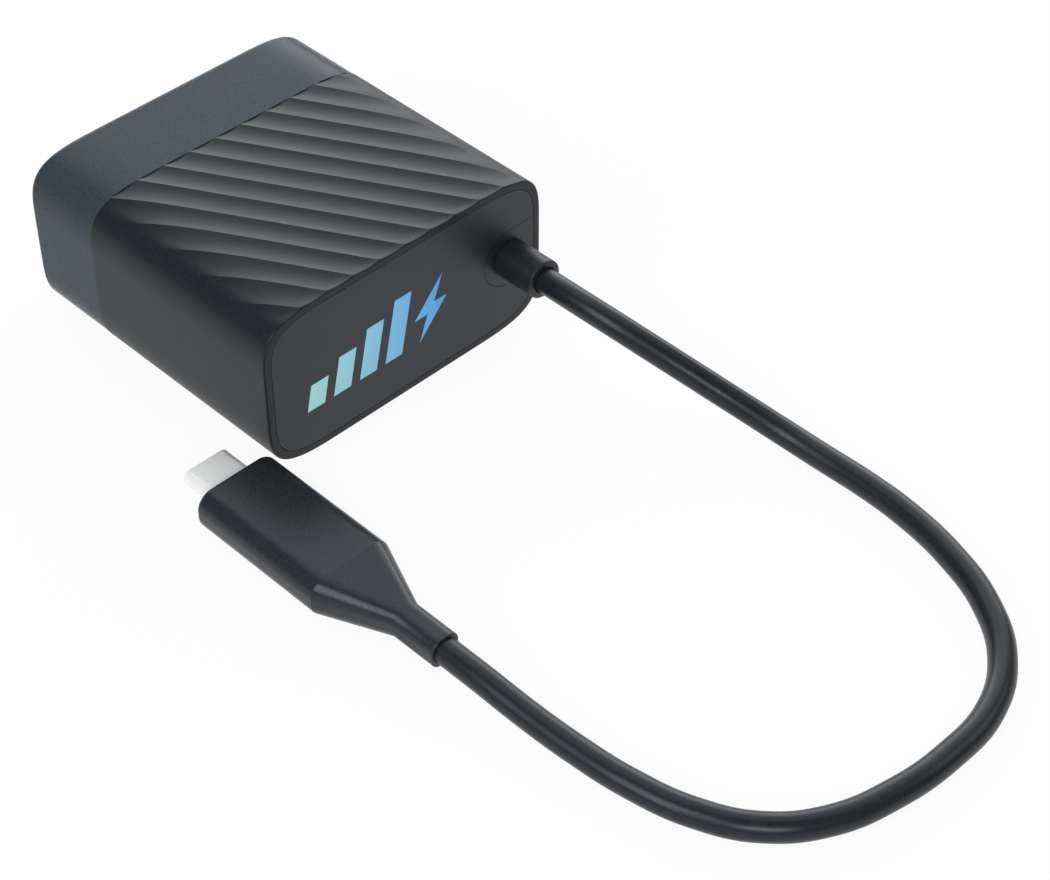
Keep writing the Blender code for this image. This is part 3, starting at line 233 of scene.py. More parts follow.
@dataclass(frozen=True)
class Finish(ABC):
    """Look of a piece, whose slot name is its own name unless another is given."""

    name: str
    colour: Colour
    roughness: float
    metallic: float = 0.0
    tones: Flat = (0.8, 1.2)
    other_slot: str = ""

    @property
    def slot(self) -> str:
        """Slot name that the finish stands for."""
        return self.other_slot or self.name

    @abstractmethod
    def sockets(self, graph: Graph, place: Signal) -> Sockets:
        """Values and patterns for the surface's sockets.

        Args:
            graph: Graph of the material.
            place: Object coordinates.

        Returns:
            What goes into each socket.
        """

    @cached_property
    def material(self) -> bpy.types.Material:
        """Material, made once."""
        graph = Graph(self.name)
        return graph.surface({"Metallic": self.metallic, **self.sockets(graph, graph.place())})

    def tinted(self, graph: Graph, pattern: Signal) -> Signal:
        """Colour that a pattern takes from its dark tone to its light tone."""
        dark, light = (shade(self.colour, tone) for tone in self.tones)
        return graph.blend(pattern, dark, light)

    def rough(self, *shifts: tuple[Signal, float]) -> Signal:
        """Roughness that keeps its mean while each pattern shifts it over a span."""
        low = self.roughness - sum(span for _, span in shifts) / 2
        return sum((pattern * span for pattern, span in shifts), low)


@dataclass(frozen=True)
class MouldedPlastic(Finish):
    """Satin plastic from a spark-eroded mould, with a fine grain."""

    tones: Flat = (0.4, 1.6)
    grain: float = 0.14 * MM
    grain_depth: float = 0.008 * MM
    grain_detail: float = 3.0
    cloud: float = 9.0 * MM
    cloud_detail: float = 2.0
    speck_share: float = 0.85
    speck_rough: float = 0.16
    cloud_rough: float = 0.06
    specular: float = 0.5
    sheen: Colour = (0.84, 0.92, 1.0)

    def sockets(self, graph: Graph, place: Signal) -> Sockets:
        """Grain, specks and clouds of the moulding.

        Args:
            graph: Graph of the material.
            place: Object coordinates.

        Returns:
            What goes into each socket.
        """
        grain = graph.noise(place, self.grain, self.grain_detail)
        speck = graph.scatter(place, self.grain, "Color")
        cloud = graph.noise(place, self.cloud, self.cloud_detail)
        pattern = speck * self.speck_share + cloud * (1.0 - self.speck_share)
        return {
            "Base Color": self.tinted(graph, pattern),
            "Roughness": self.rough((speck, self.speck_rough), (cloud, self.cloud_rough)),
            "Normal": graph.relief(grain, self.grain_depth),
            "Specular IOR Level": self.specular,
            "Specular Tint": (*self.sheen, 1.0),
        }


@dataclass(frozen=True)
class FlexibleJacket(MouldedPlastic):
    """Extruded or moulded elastomer with a soft sheen and faint handling marks."""

    tones: Flat = (0.5, 1.5)
    grain: float = 0.16 * MM
    grain_depth: float = 0.006 * MM
    grain_detail: float = 2.0
    cloud: float = 6.0 * MM
    cloud_detail: float = 3.0
    speck_share: float = 0.7
    speck_rough: float = 0.12
    cloud_rough: float = 0.08
    specular: float = 0.36


@dataclass(frozen=True)
class DrawnMetal(Finish):
    """Plated or drawn metal with fine lines along one axis and a slightly uneven tone."""

    metallic: float = 1.0
    tones: Flat = (0.92, 1.05)
    along: Axis = Axis.Y
    line: float = 0.06 * MM
    line_depth: float = 0.0015 * MM
    line_rough: float = 0.16
    stretch: float = 0.03
    stain: float = 3.0 * MM
    stain_detail: float = 3.0
    stain_rough: float = 0.10

    def sockets(self, graph: Graph, place: Signal) -> Sockets:
        """Drawing lines and stains of the metal.

        Args:
            graph: Graph of the material.
            place: Object coordinates.

        Returns:
            What goes into each socket.
        """
        lines = graph.noise(graph.place(self.along.vector(self.stretch, 1.0)), self.line)
        stain = graph.noise(place, self.stain, self.stain_detail)
        return {
            "Base Color": self.tinted(graph, stain),
            "Roughness": self.rough((lines, self.line_rough), (stain, self.stain_rough)),
            "Normal": graph.relief(lines, self.line_depth),
        }


@dataclass(frozen=True)
class CircuitLaminate(Finish):
    """Board with solder resist over tracks and small solder pads."""

    tones: Flat = (0.7, 1.4)
    track: float = 1.1 * MM
    track_depth: float = 0.02 * MM
    track_shake: float = 3.0
    pad_pitch: float = 2.2 * MM
    pad_size: float = 0.16
    pad_colour: Colour = (0.55, 0.56, 0.57)
    pad_metallic: float = 0.9
    pad_gloss: float = 0.12

    def sockets(self, graph: Graph, place: Signal) -> Sockets:
        """Tracks and pads of the board.

        Args:
            graph: Graph of the material.
            place: Object coordinates.

        Returns:
            What goes into each socket.
        """
        tracks = graph.bands(place, self.track, Axis.X, self.track_shake)
        pads = graph.math(
            "LESS_THAN", graph.scatter(place, self.pad_pitch, "Distance"), self.pad_size)
        return {
            "Base Color": graph.blend(pads, self.tinted(graph, tracks), self.pad_colour),
            "Metallic": pads * self.pad_metallic,
            "Roughness": self.roughness - pads * self.pad_gloss,
            "Normal": graph.relief(tracks, self.track_depth),
        }


@dataclass(frozen=True)
class WoundCoil(Finish):
    """Wire or tape laid in turns that follow each other upwards."""

    tones: Flat = (0.6, 1.1)
    pitch: float = 0.6 * MM
    turn_depth: float = 0.08 * MM
    turn_shake: float = 0.2
    turn_share: float = 0.7
    stain: float = 2.5 * MM
    stain_rough: float = 0.12

    def sockets(self, graph: Graph, place: Signal) -> Sockets:
        """Turns and stains of the coil.

        Args:
            graph: Graph of the material.
            place: Object coordinates.

        Returns:
            What goes into each socket.
        """
        turns = graph.bands(place, self.pitch, Axis.Z, self.turn_shake)
        stain = graph.noise(place, self.stain)
        pattern = turns * self.turn_share + stain * (1.0 - self.turn_share)
        return {
            "Base Color": self.tinted(graph, pattern),
            "Roughness": self.rough((stain, self.stain_rough)),
            "Normal": graph.relief(turns, self.turn_depth),
        }


@dataclass(frozen=True)
class PartBody(Finish):
    """Case of an electronic part: fine grain and a paler worn tone here and there."""

    grain: float = 0.3 * MM
    grain_depth: float = 0.01 * MM
    grain_detail: float = 4.0
    grain_share: float = 0.4
    wear: float = 4.0 * MM
    wear_detail: float = 3.0
    wear_rough: float = 0.2

    def sockets(self, graph: Graph, place: Signal) -> Sockets:
        """Grain and wear of the case.

        Args:
            graph: Graph of the material.
            place: Object coordinates.

        Returns:
            What goes into each socket.
        """
        grain = graph.noise(place, self.grain, self.grain_detail)
        wear = graph.noise(place, self.wear, self.wear_detail)
        pattern = grain * self.grain_share + wear * (1.0 - self.grain_share)
        return {
            "Base Color": self.tinted(graph, pattern),
            "Roughness": self.rough((wear, self.wear_rough)),
            "Normal": graph.relief(grain, self.grain_depth),
        }


@dataclass(frozen=True)
class GradientPrint(Finish):
    """Pad-printed ink that turns from its own colour to another across the panel."""

    far_colour: Colour = (0.05, 0.40, 0.95)
    start_x: float = -20.0 * MM
    end_x: float = 9.0 * MM
    grain: float = 0.22 * MM
    grain_depth: float = 0.008 * MM
    grain_detail: float = 3.0
    grain_rough: float = 0.1
    fray: float = 0.08

    def sockets(self, graph: Graph, place: Signal) -> Sockets:
        """Change of colour and grain of the ink.

        Args:
            graph: Graph of the material.
            place: Object coordinates.

        Returns:
            What goes into each socket.
        """
        x = graph.signal("ShaderNodeSeparateXYZ", {0: place})
        across = (x - self.start_x) * (1.0 / (self.end_x - self.start_x))
        grain = graph.noise(place, self.grain, self.grain_detail)
        share = across + (grain - 0.5) * self.fray
        return {
            "Base Color": graph.blend(share, self.colour, self.far_colour),
            "Roughness": self.rough((grain, self.grain_rough)),
            "Normal": graph.relief(grain, self.grain_depth),
        }


BLACK_PLASTIC = MouldedPlastic("black_plastic", (0.009, 0.011, 0.014), 0.40, specular=0.27)
SLATE_PLASTIC = MouldedPlastic(
    "slate_plastic", (0.040, 0.0515, 0.0655), 0.27, tones=(0.7, 1.3), specular=0.095)
PANEL_PLASTIC = MouldedPlastic("panel_plastic", (0.012, 0.014, 0.018), 0.45, specular=0.48)
PANEL_PRINT = GradientPrint("panel_print", (0.50, 0.94, 0.92), 0.50, other_slot="panel_plastic")
CABLE_JACKET = FlexibleJacket("cable_jacket", (0.010, 0.011, 0.014), 0.33, specular=0.38)
RELIEF_RUBBER = FlexibleJacket(
    "relief_rubber", (0.014, 0.016, 0.019), 0.40, other_slot="cable_jacket")
PLUG_GRIP = MouldedPlastic(
    "plug_grip", (0.015, 0.017, 0.0205), 0.31, tones=(0.6, 1.4), specular=0.41)
PLUG_STEEL = DrawnMetal("plug_steel", (0.98, 0.98, 0.98), 0.50, metallic=0.45)
INSERT_PLASTIC = MouldedPlastic("insert_plastic", (0.020, 0.020, 0.020), 0.5)
CONTACT_GOLD = DrawnMetal("contact_gold", (0.83, 0.62, 0.28), 0.25)
BLADE_PLATE = DrawnMetal("blade_plate", (0.72, 0.70, 0.66), 0.26, along=Axis.X)
SCREW_STEEL = DrawnMetal("screw_steel", (0.45, 0.46, 0.48), 0.3)
SPRING_BRONZE = DrawnMetal("spring_bronze", (0.62, 0.42, 0.22), 0.3, along=Axis.X)
SPREADER_SHEET = DrawnMetal("spreader_sheet", (0.78, 0.79, 0.80), 0.35)
BOARD_LAMINATE = CircuitLaminate("board_laminate", (0.020, 0.110, 0.050), 0.42)
WINDING_TAPE = WoundCoil("winding_tape", (0.75, 0.60, 0.10), 0.35, pitch=2.6 * MM)
COPPER_WIRE = WoundCoil("copper_wire", (0.62, 0.26, 0.12), 0.35, metallic=1.0, pitch=0.9 * MM)
FERRITE = PartBody("ferrite", (0.060, 0.060, 0.065), 0.6)
CAN_SLEEVE = PartBody("can_sleeve", (0.03, 0.05, 0.12), 0.3)
POLYMER_CAN = DrawnMetal("polymer_can", (0.70, 0.71, 0.73), 0.3, along=Axis.Z)
FILM_BLOCK = PartBody("film_block", (0.65, 0.50, 0.05), 0.35)
BLUE_COAT = PartBody("blue_coat", (0.05, 0.16, 0.42), 0.35)
CHIP_RESIN = PartBody("chip_resin", (0.020, 0.020, 0.020), 0.55)
PAD_RUBBER = PartBody("pad_rubber", (0.45, 0.52, 0.60), 0.75)
INSULATING_FILM = PartBody("insulating_film", (0.05, 0.05, 0.05), 0.25)
WIRE_JACKET = FlexibleJacket("wire_jacket", (0.35, 0.03, 0.03), 0.45)


def dress(item: bpy.types.Object, finish: Finish, body: Body, *nodes: str) -> bpy.types.Object:
    """Gives a new piece its place in the frame and its finish.

    Args:
        item: The piece.
        finish: Its finish.
        body: Body that it rides on.
        nodes: CAD nodes that it stands for.

    Returns:
        The piece.
    """
    item.data.materials.append(finish.material)
    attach(item, body.value)
    if nodes:
        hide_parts(*nodes)
    finish.slot
    log.info("%s: %s", item.name, finish.name)
    return item


# Modelling bench


def spread(middle: float, half: float) -> Flat:
    """Places on both sides of a middle."""
    return (middle - half, middle + half)


def around(axis: Axis, along: float, centre: Flat, radius: float, turn: float) -> Point:
    """Point round an axis.

    Args:
        axis: Axis to go round.
        along: Place along the axis.
        centre: The axis's two other coordinates in X, Y, Z order.
        radius: Distance from the axis.
        turn: Angle round the axis.

    Returns:
        The point.
    """
    point = [centre[0] + radius * math.cos(turn), centre[1] + radius * math.sin(turn)]
    point.insert(axis.value, along)
    return tuple(point)


def quarter_round(radius: float, steps: int) -> list[Flat]:
    """Depths of a rounded edge's points under the end face and under the side, end first."""
    turns = [math.pi / 2 * step / steps for step in range(steps + 1)]
    return [(radius * (1 - math.cos(turn)), radius * (1 - math.sin(turn))) for turn in turns]


def edges_at(y: float) -> EdgeTest:
    """Test for edges that lie in the plane across Y at a place."""
    return lambda first, second: max(abs(first.y - y), abs(second.y - y)) < TOUCH


def runs_along(first: Vector, second: Vector) -> bool:
    """Whether an edge runs along Y from one end to the other."""
    return abs(first.y - second.y) > TOUCH


def lies_level(first: Vector, second: Vector) -> bool:
    """Whether both ends of an edge are at one height."""
    return abs(first.z - second.z) < TOUCH


class Bench:
    """One piece on the bench, shaped with Blender's own operators."""

    def __init__(self, name: str) -> None:
        """Takes the object that an operator has just added.

        Args:
            name: Name of the piece.
        """
        self.item = bpy.context.object
        self.item.name = name
        self.item.data.name = name

    @staticmethod
    def clear() -> None:
        """Leaves nothing selected."""
        bpy.ops.object.select_all(action="DESELECT")

    @classmethod
    def plate(cls, name: str, points: Sequence[Point]) -> "Bench":
        """Flat plate.

        Args:
            name: Name of the piece.
            points: Outline of the plate.

        Returns:
            The piece.
        """
        cls.clear()
        bpy.ops.mesh.primitive_circle_add(
            vertices=len(points), radius=DISC_RADIUS, fill_type="NGON")
        bench = cls(name)
        bench.move_points(points)
        return bench

    @classmethod
    def prism(cls, name: str, points: Sequence[Point], offset: Point) -> "Bench":
        """Solid that a flat outline sweeps on a straight way.

        Args:
            name: Name of the piece.
            points: The outline.
            offset: How far it sweeps.

        Returns:
            The piece.
        """
        bench = cls.plate(name, points)
        bench.pick_all("FACE")
        bench.extrude(offset)
        bench.close_edit()
        bench.make_solid()
        return bench

    @classmethod
    def block(cls, name: str, across: Flat, along: Flat, level: float, half: float) -> "Bench":
        """Upright block.

        Args:
            name: Name of the piece.
            across: Where it starts and ends along X.
            along: Where it starts and ends along Y.
            level: Height of its middle.
            half: Half its height.

        Returns:
            The piece.
        """
        low = Vector((across[0], along[0], level - half))
        high = Vector((across[1], along[1], level + half))
        cls.clear()
        bpy.ops.mesh.primitive_cube_add(size=1.0, location=(low + high) / 2)
        bench = cls(name)
        bench.item.scale = high - low
        bpy.ops.object.transform_apply(location=True, rotation=True, scale=True)
        return bench

    @classmethod
    def post(cls, name: str, centre: Flat, radius: float, ends: Flat, sides: int) -> "Bench":
        """Upright round bar.

        Args:
            name: Name of the piece.
            centre: Its place along X and Y.
            radius: Radius of the bar.
            ends: Heights of its two ends.
            sides: Number of facets.

        Returns:
            The piece.
        """
        turns = [2 * math.pi * step / sides for step in range(sides)]
        points = [around(Axis.Z, ends[0], centre, radius, turn) for turn in turns]
        return cls.prism(name, points, Axis.Z.vector(ends[1] - ends[0]))

    @classmethod
    def turned(
        cls, name: str, centre: Flat, profile: Sequence[Flat], axis: Axis, sides: int
    ) -> "Bench":
        """Piece spun from a profile.

        Args:
            name: Name of the piece.
            centre: Coordinates of the axis in X, Y, Z order.
            profile: Places along the axis with their radius, as a closed loop.
            axis: Axis to spin about.
            sides: Number of facets round the axis.

        Returns:
            The piece.
        """
        points = [around(axis, along, centre, radius, 0.0) for along, radius in profile]
        bench = cls.plate(name, points)
        bench.pick_all("FACE")
        bpy.ops.mesh.delete(type="ONLY_FACE")
        bpy.ops.mesh.select_all(action="SELECT")
        bpy.ops.mesh.spin(
            steps=sides, angle=2 * math.pi, center=around(axis, 0.0, centre, 0.0, 0.0),
            axis=axis.vector(1.0))
        bench.close_edit()
        bench.make_solid()
        return bench

    def move_points(self, points: Sequence[Point]) -> None:
        """Moves the piece's points, in order, to places."""
        for vertex, point in zip(self.item.data.vertices, points, strict=True):
            vertex.co = point

    def focus(self) -> None:
        """Leaves only this piece selected, as the active one."""
        self.clear()
        self.item.select_set(True)
        bpy.context.view_layer.objects.active = self.item

    def open_edit(self, mode: str) -> bmesh.types.BMesh:
        """Opens the piece in edit mode with nothing selected.

        Args:
            mode: VERT, EDGE or FACE.

        Returns:
            The mesh in edit mode.
        """
        if self.item.mode != "EDIT":
            self.focus()
            bpy.ops.object.mode_set(mode="EDIT")
        bpy.ops.mesh.select_mode(type=mode)
        bpy.ops.mesh.select_all(action="DESELECT")
        return bmesh.from_edit_mesh(self.item.data)

    @staticmethod
    def close_edit() -> None:
        """Goes back to object mode."""
        bpy.ops.object.mode_set(mode="OBJECT")

    def pick_all(self, mode: str) -> None:
        """Opens the piece in edit mode with everything selected."""
        self.open_edit(mode)
        bpy.ops.mesh.select_all(action="SELECT")

    def pick_faces(self, test: Callable[[Vector], bool]) -> None:
        """Selects faces.

        Args:
            test: Whether a face with a normal is taken.
        """
        mesh = self.open_edit("FACE")
        for face in mesh.faces:
            face.select_set(test(face.normal))
        bmesh.update_edit_mesh(self.item.data)

    def pick_edges(self, test: EdgeTest) -> None:
        """Selects edges.

        Args:
            test: Whether an edge with two ends is taken.
        """
        mesh = self.open_edit("EDGE")
        for edge in mesh.edges:
            edge.select_set(test(edge.verts[0].co, edge.verts[1].co))
        bmesh.update_edit_mesh(self.item.data)

    @staticmethod
    def extrude(offset: Point) -> None:
        """Extrudes what is selected."""
        bpy.ops.mesh.extrude_region_move(TRANSFORM_OT_translate={"value": offset})

    def move_selected(self, rule: Callable[[Vector], Vector]) -> None:
        """Moves each selected point.

        Args:
            rule: Gives the place that a point goes to.
        """
        mesh = bmesh.from_edit_mesh(self.item.data)
        for vertex in mesh.verts:
            if vertex.select:
                vertex.co = rule(vertex.co)
        bmesh.update_edit_mesh(self.item.data)

    def bevel(self, test: EdgeTest, width: float, steps: int) -> None:
        """Rounds edges.

        Args:
            test: Whether an edge with two ends is rounded.
            width: How wide the rounding is.
            steps: How many faces it has.
        """
        self.pick_edges(test)
        bpy.ops.mesh.bevel(offset=width, segments=steps)
        self.close_edit()

    def make_solid(self) -> None:
        """Merges doubled points and turns every face outwards."""
        self.pick_all("VERT")
        bpy.ops.mesh.remove_doubles(threshold=MERGE)
        bpy.ops.mesh.normals_make_consistent(inside=False)
        self.close_edit()

    def apply(self, kind: str, **settings: object) -> None:
        """Adds a modifier and applies it.

        Args:
            kind: Type of the modifier.
            settings: Its properties.
        """
        self.focus()
        modifier = self.item.modifiers.new(kind.lower(), kind)
        for name, value in settings.items():
            setattr(modifier, name, value)
        bpy.ops.object.modifier_apply(modifier=modifier.name)

    def combine(self, tool: "Bench", way: Join) -> None:
        """Joins a tool to the piece, or cuts the piece with it, and removes the tool."""
        self.apply("BOOLEAN", operation=way.value, solver="EXACT", object=tool.item)
        bpy.data.meshes.remove(tool.item.data)

    def copy(self, name: str, offset: Point) -> "Bench":
        """Copies the piece with its own mesh.

        Args:
            name: Name of the copy.
            offset: How far it is moved.

        Returns:
            The copy.
        """
        self.focus()
        bpy.ops.object.duplicate(linked=False)
        bench = Bench(name)
        bench.item.location = offset
        bpy.ops.object.transform_apply(location=True, rotation=False, scale=False)
        return bench

    def soften(
        self, angle: float = SMOOTH_ANGLE, weighted: bool = True, crease: EdgeTest | None = None
    ) -> None:
        """Shades the piece smooth up to an angle.

        Args:
            angle: Edges sharper than this stay sharp, in degrees.
            weighted: Whether large faces rule the normals, so that flat faces stay flat.
            crease: Whether an edge with two ends stays sharp whatever its angle.
        """
        self.focus()
        bpy.ops.object.shade_smooth_by_angle(angle=math.radians(angle))
        if crease:
            self.pick_edges(crease)
            bpy.ops.mesh.mark_sharp()
            self.close_edit()
        if weighted:
            self.apply("WEIGHTED_NORMAL", keep_sharp=True, weight=FLAT_WEIGHT)

    def dress(self, finish: Finish, body: Body, *nodes: str) -> bpy.types.Object:
        """Gives the piece its place in the frame and its finish."""
        return dress(self.item, finish, body, *nodes)


# Body


@dataclass(frozen=True)
class BodySizes:
    """Sizes that the sleeve, the cap and the panel share."""

    width: float = 56.0 * MM
    depth: float = 56.0 * MM
    height: float = 28.4 * MM
    sleeve_length: float = 40.35 * MM
    corner_reach_x: float = 15.5 * MM
    corner_reach_z: float = 10.7 * MM
    corner_power: float = 3.85
    corner_steps: int = 26
    wall: float = 1.8 * MM
    panel_rim: float = 1.3 * MM
    panel_thickness: float = 2.0 * MM
    seam_gap: float = 0.2 * MM
    seam_line: float = 0.07 * MM
    fit_gap: float = 0.3 * MM

    @property
    def front_y(self) -> float:
        """Front of the sleeve."""
        return -self.depth / 2

    @property
    def rear_y(self) -> float:
        """Back of the cap."""
        return self.depth / 2

    @property
    def seam_y(self) -> float:
        """Rear end of the sleeve."""
        return self.front_y + self.sleeve_length

    @property
    def mid_z(self) -> float:
        """Half the height."""
        return self.height / 2

    @property
    def flat_x(self) -> float:
        """Half the width of the broad faces' flat part."""
        return self.width / 2 - self.corner_reach_x

    @property
    def flat_z(self) -> float:
        """Half the height of the side faces' flat part."""
        return self.height / 2 - self.corner_reach_z

    def corner(self, share: float, inset: float) -> Flat:
        """Point on the corner's curve.

        Args:
            share: From 0 at the side face to 1 at the broad face.
            inset: Distance inside the skin.

        Returns:
            Half width and half height there.
        """
        across = math.cos(share * math.pi / 2) ** (2 / self.corner_power) if share < 1 else 0.0
        up = math.sin(share * math.pi / 2) ** (2 / self.corner_power)
        return (
            self.flat_x + (self.corner_reach_x - inset) * across,
            self.flat_z + (self.corner_reach_z - inset) * up,
        )

    def half_height(self, x: float, inset: float) -> float:
        """Half height of the outline.

        Args:
            x: Place across the body.
            inset: Distance inside the skin.

        Returns:
            The half height there.
        """
        share = max(abs(x) - self.flat_x, 0.0) / (self.corner_reach_x - inset)
        rise = (1 - share ** self.corner_power) ** (1 / self.corner_power)
        return self.flat_z + (self.corner_reach_z - inset) * rise

    def solid(self, name: str, inset: float, along: Flat) -> Bench:
        """Solid with the body's outline.

        Args:
            name: Name of the piece.
            inset: Distance inside the skin.
            along: Where it starts and ends along the body.

        Returns:
            The piece.
        """
        points = []
        for quarter, (side, level) in enumerate(((1, 1), (-1, 1), (-1, -1), (1, -1))):
            for step in range(self.corner_steps + 1):
                share = step / self.corner_steps
                if quarter % 2:
                    share = 1 - share
                x, z = self.corner(share, inset)
                points.append((side * x, along[0], self.mid_z + level * z))
        return Bench.prism(name, points, Axis.Y.vector(along[1] - along[0]))


@dataclass
class FlutedSleeve:
    """Sleeve with scallops that cross its broad faces on a slant and fade at the shoulders."""

    body: BodySizes
    pitch: float = 5.08 * MM
    depth: float = 0.24 * MM
    start: float = -0.4 * MM
    steps: int = 12
    sections: int = 54
    edge: float = 2.5 * MM
    fade: float = 4.5 * MM
    flutes_from: float = 0.9 * MM
    front_fade: float = 1.3 * MM
    front_share: float = 0.45
    front_round: float = 0.28 * MM
    round_steps: int = 8
    side_steps: int = 18
    broad_lean: float = 0.3
    smooth_angle: float = 14.0

    @property
    def flute_front_y(self) -> float:
        """First of the evenly spaced rings that carry the flutes."""
        return self.body.front_y + self.flutes_from

    @property
    def step(self) -> float:
        """Distance between neighbouring columns of points."""
        return self.pitch / self.steps

    def cut(self, x: float, y: float) -> float:
        """How deep a scallop lies under the skin of a broad face.

        Args:
            x: Place across the body.
            y: Place along the body.

        Returns:
            The depth.
        """
        slope = self.sections * self.step / (self.body.seam_y - self.flute_front_y)
        turns = (x - self.start + slope * (y - self.flute_front_y)) / self.pitch
        nearest = round(turns * self.steps) / self.steps
        across = 2 * (nearest - math.floor(nearest)) - 1
        share = min(max((self.body.width / 2 - self.edge / 2 - abs(x)) / self.fade, 0.0), 1.0)
        behind = min(max((y - self.body.front_y) / self.front_fade, 0.0), 1.0)
        depth = self.depth * (self.front_share + (1 - self.front_share) * behind)
        return depth * (1 - across ** 2) * share ** 2 * (3 - 2 * share)

    def ring(self, y: float, inset: float) -> list[Point]:
        """Ring of the sleeve, scalloped on both broad faces.

        Args:
            y: Place along the body.
            inset: Distance inside the skin.

        Returns:
            Points once round.
        """
        body = self.body
        reach = int((body.width / 2 - self.edge) / self.step)
        upper = []
        for index in range(-reach, reach + 1):
            x = self.start + index * self.step
            upper.append((x, body.half_height(x, inset) - max(self.cut(x, y) - inset, 0.0)))
        right = self.side(abs(upper[-1][0]), inset)
        left = [(-x, level) for x, level in reversed(self.side(abs(upper[0][0]), inset))]
        lower = [(x, -level) for x, level in reversed(upper)]
        return [(x, y, body.mid_z + level) for x, level in [*upper, *right, *lower, *left]]

    def side(self, from_x: float, inset: float) -> list[Flat]:
        """Points down one side, from just past a place on the shoulder to its mirror image below.

        Args:
            from_x: Half width where the broad face's points end.
            inset: Distance inside the skin.

        Returns:
            Half widths and levels from the top down.
        """
        body = self.body
        across = (from_x - body.flat_x) / (body.corner_reach_x - inset)
        share = math.acos(min(across, 1.0) ** (body.corner_power / 2)) / (math.pi / 2)
        upper = [
            body.corner(share * (1 - step / self.side_steps), inset)
            for step in range(1, self.side_steps + 1)
        ]
        return [*upper, *[(x, -level) for x, level in reversed(upper)]]

    def loop(self) -> list[Flat]:
        """Section of the wall.

        Returns:
            Places along the body and insets, once round the section.
        """
        body = self.body
        seat_y = body.front_y + body.panel_thickness + body.fit_gap
        rows = [(body.seam_y, body.wall), (seat_y, body.wall), (seat_y, body.panel_rim)]
        rows.append((body.front_y, body.panel_rim))
        for along, inset in quarter_round(self.front_round, self.round_steps):
            rows.append((body.front_y + along, inset))
        for section in range(self.sections + 1):
            share = section / self.sections
            rows.append((self.flute_front_y + (body.seam_y - self.flute_front_y) * share, 0.0))
        return rows

    def build(self) -> bpy.types.Object:
        """Models the sleeve.

        Returns:
            The finished piece.
        """
        rings = [self.ring(y, inset) for y, inset in self.loop()]
        rings.append(rings[0])
        Bench.clear()
        bpy.ops.mesh.primitive_grid_add(x_subdivisions=len(rings[0]), y_subdivisions=len(rings) - 1)
        bench = Bench("fluted_sleeve")
        bench.move_points([point for ring in rings for point in [*ring, ring[0]]])
        bench.make_solid()
        self.split_along_crests(bench)
        bench.soften(self.smooth_angle, weighted=False)
        return bench.dress(BLACK_PLASTIC, Body.CHARGER, "main_shell")

    def split_along_crests(self, bench: Bench) -> None:
        """Splits the broad faces' quads along the slant of the flutes.

        Args:
            bench: The sleeve.
        """
        mesh = bench.open_edit("FACE")
        slanted = []
        for face in mesh.faces:
            middle = face.calc_center_median()
            on_skin = middle.y > self.body.front_y and len(face.verts) == 4
            inside = abs(middle.x) < self.body.width / 2 - self.edge
            if on_skin and inside and abs(face.normal.z) > self.broad_lean:
                slanted.append(face)
        for face in slanted:
            corners = sorted(face.verts, key=lambda vertex: vertex.co.x - vertex.co.y)
            bmesh.utils.face_split(face, corners[-1], corners[0])
        bmesh.update_edit_mesh(bench.item.data)
        bench.close_edit()


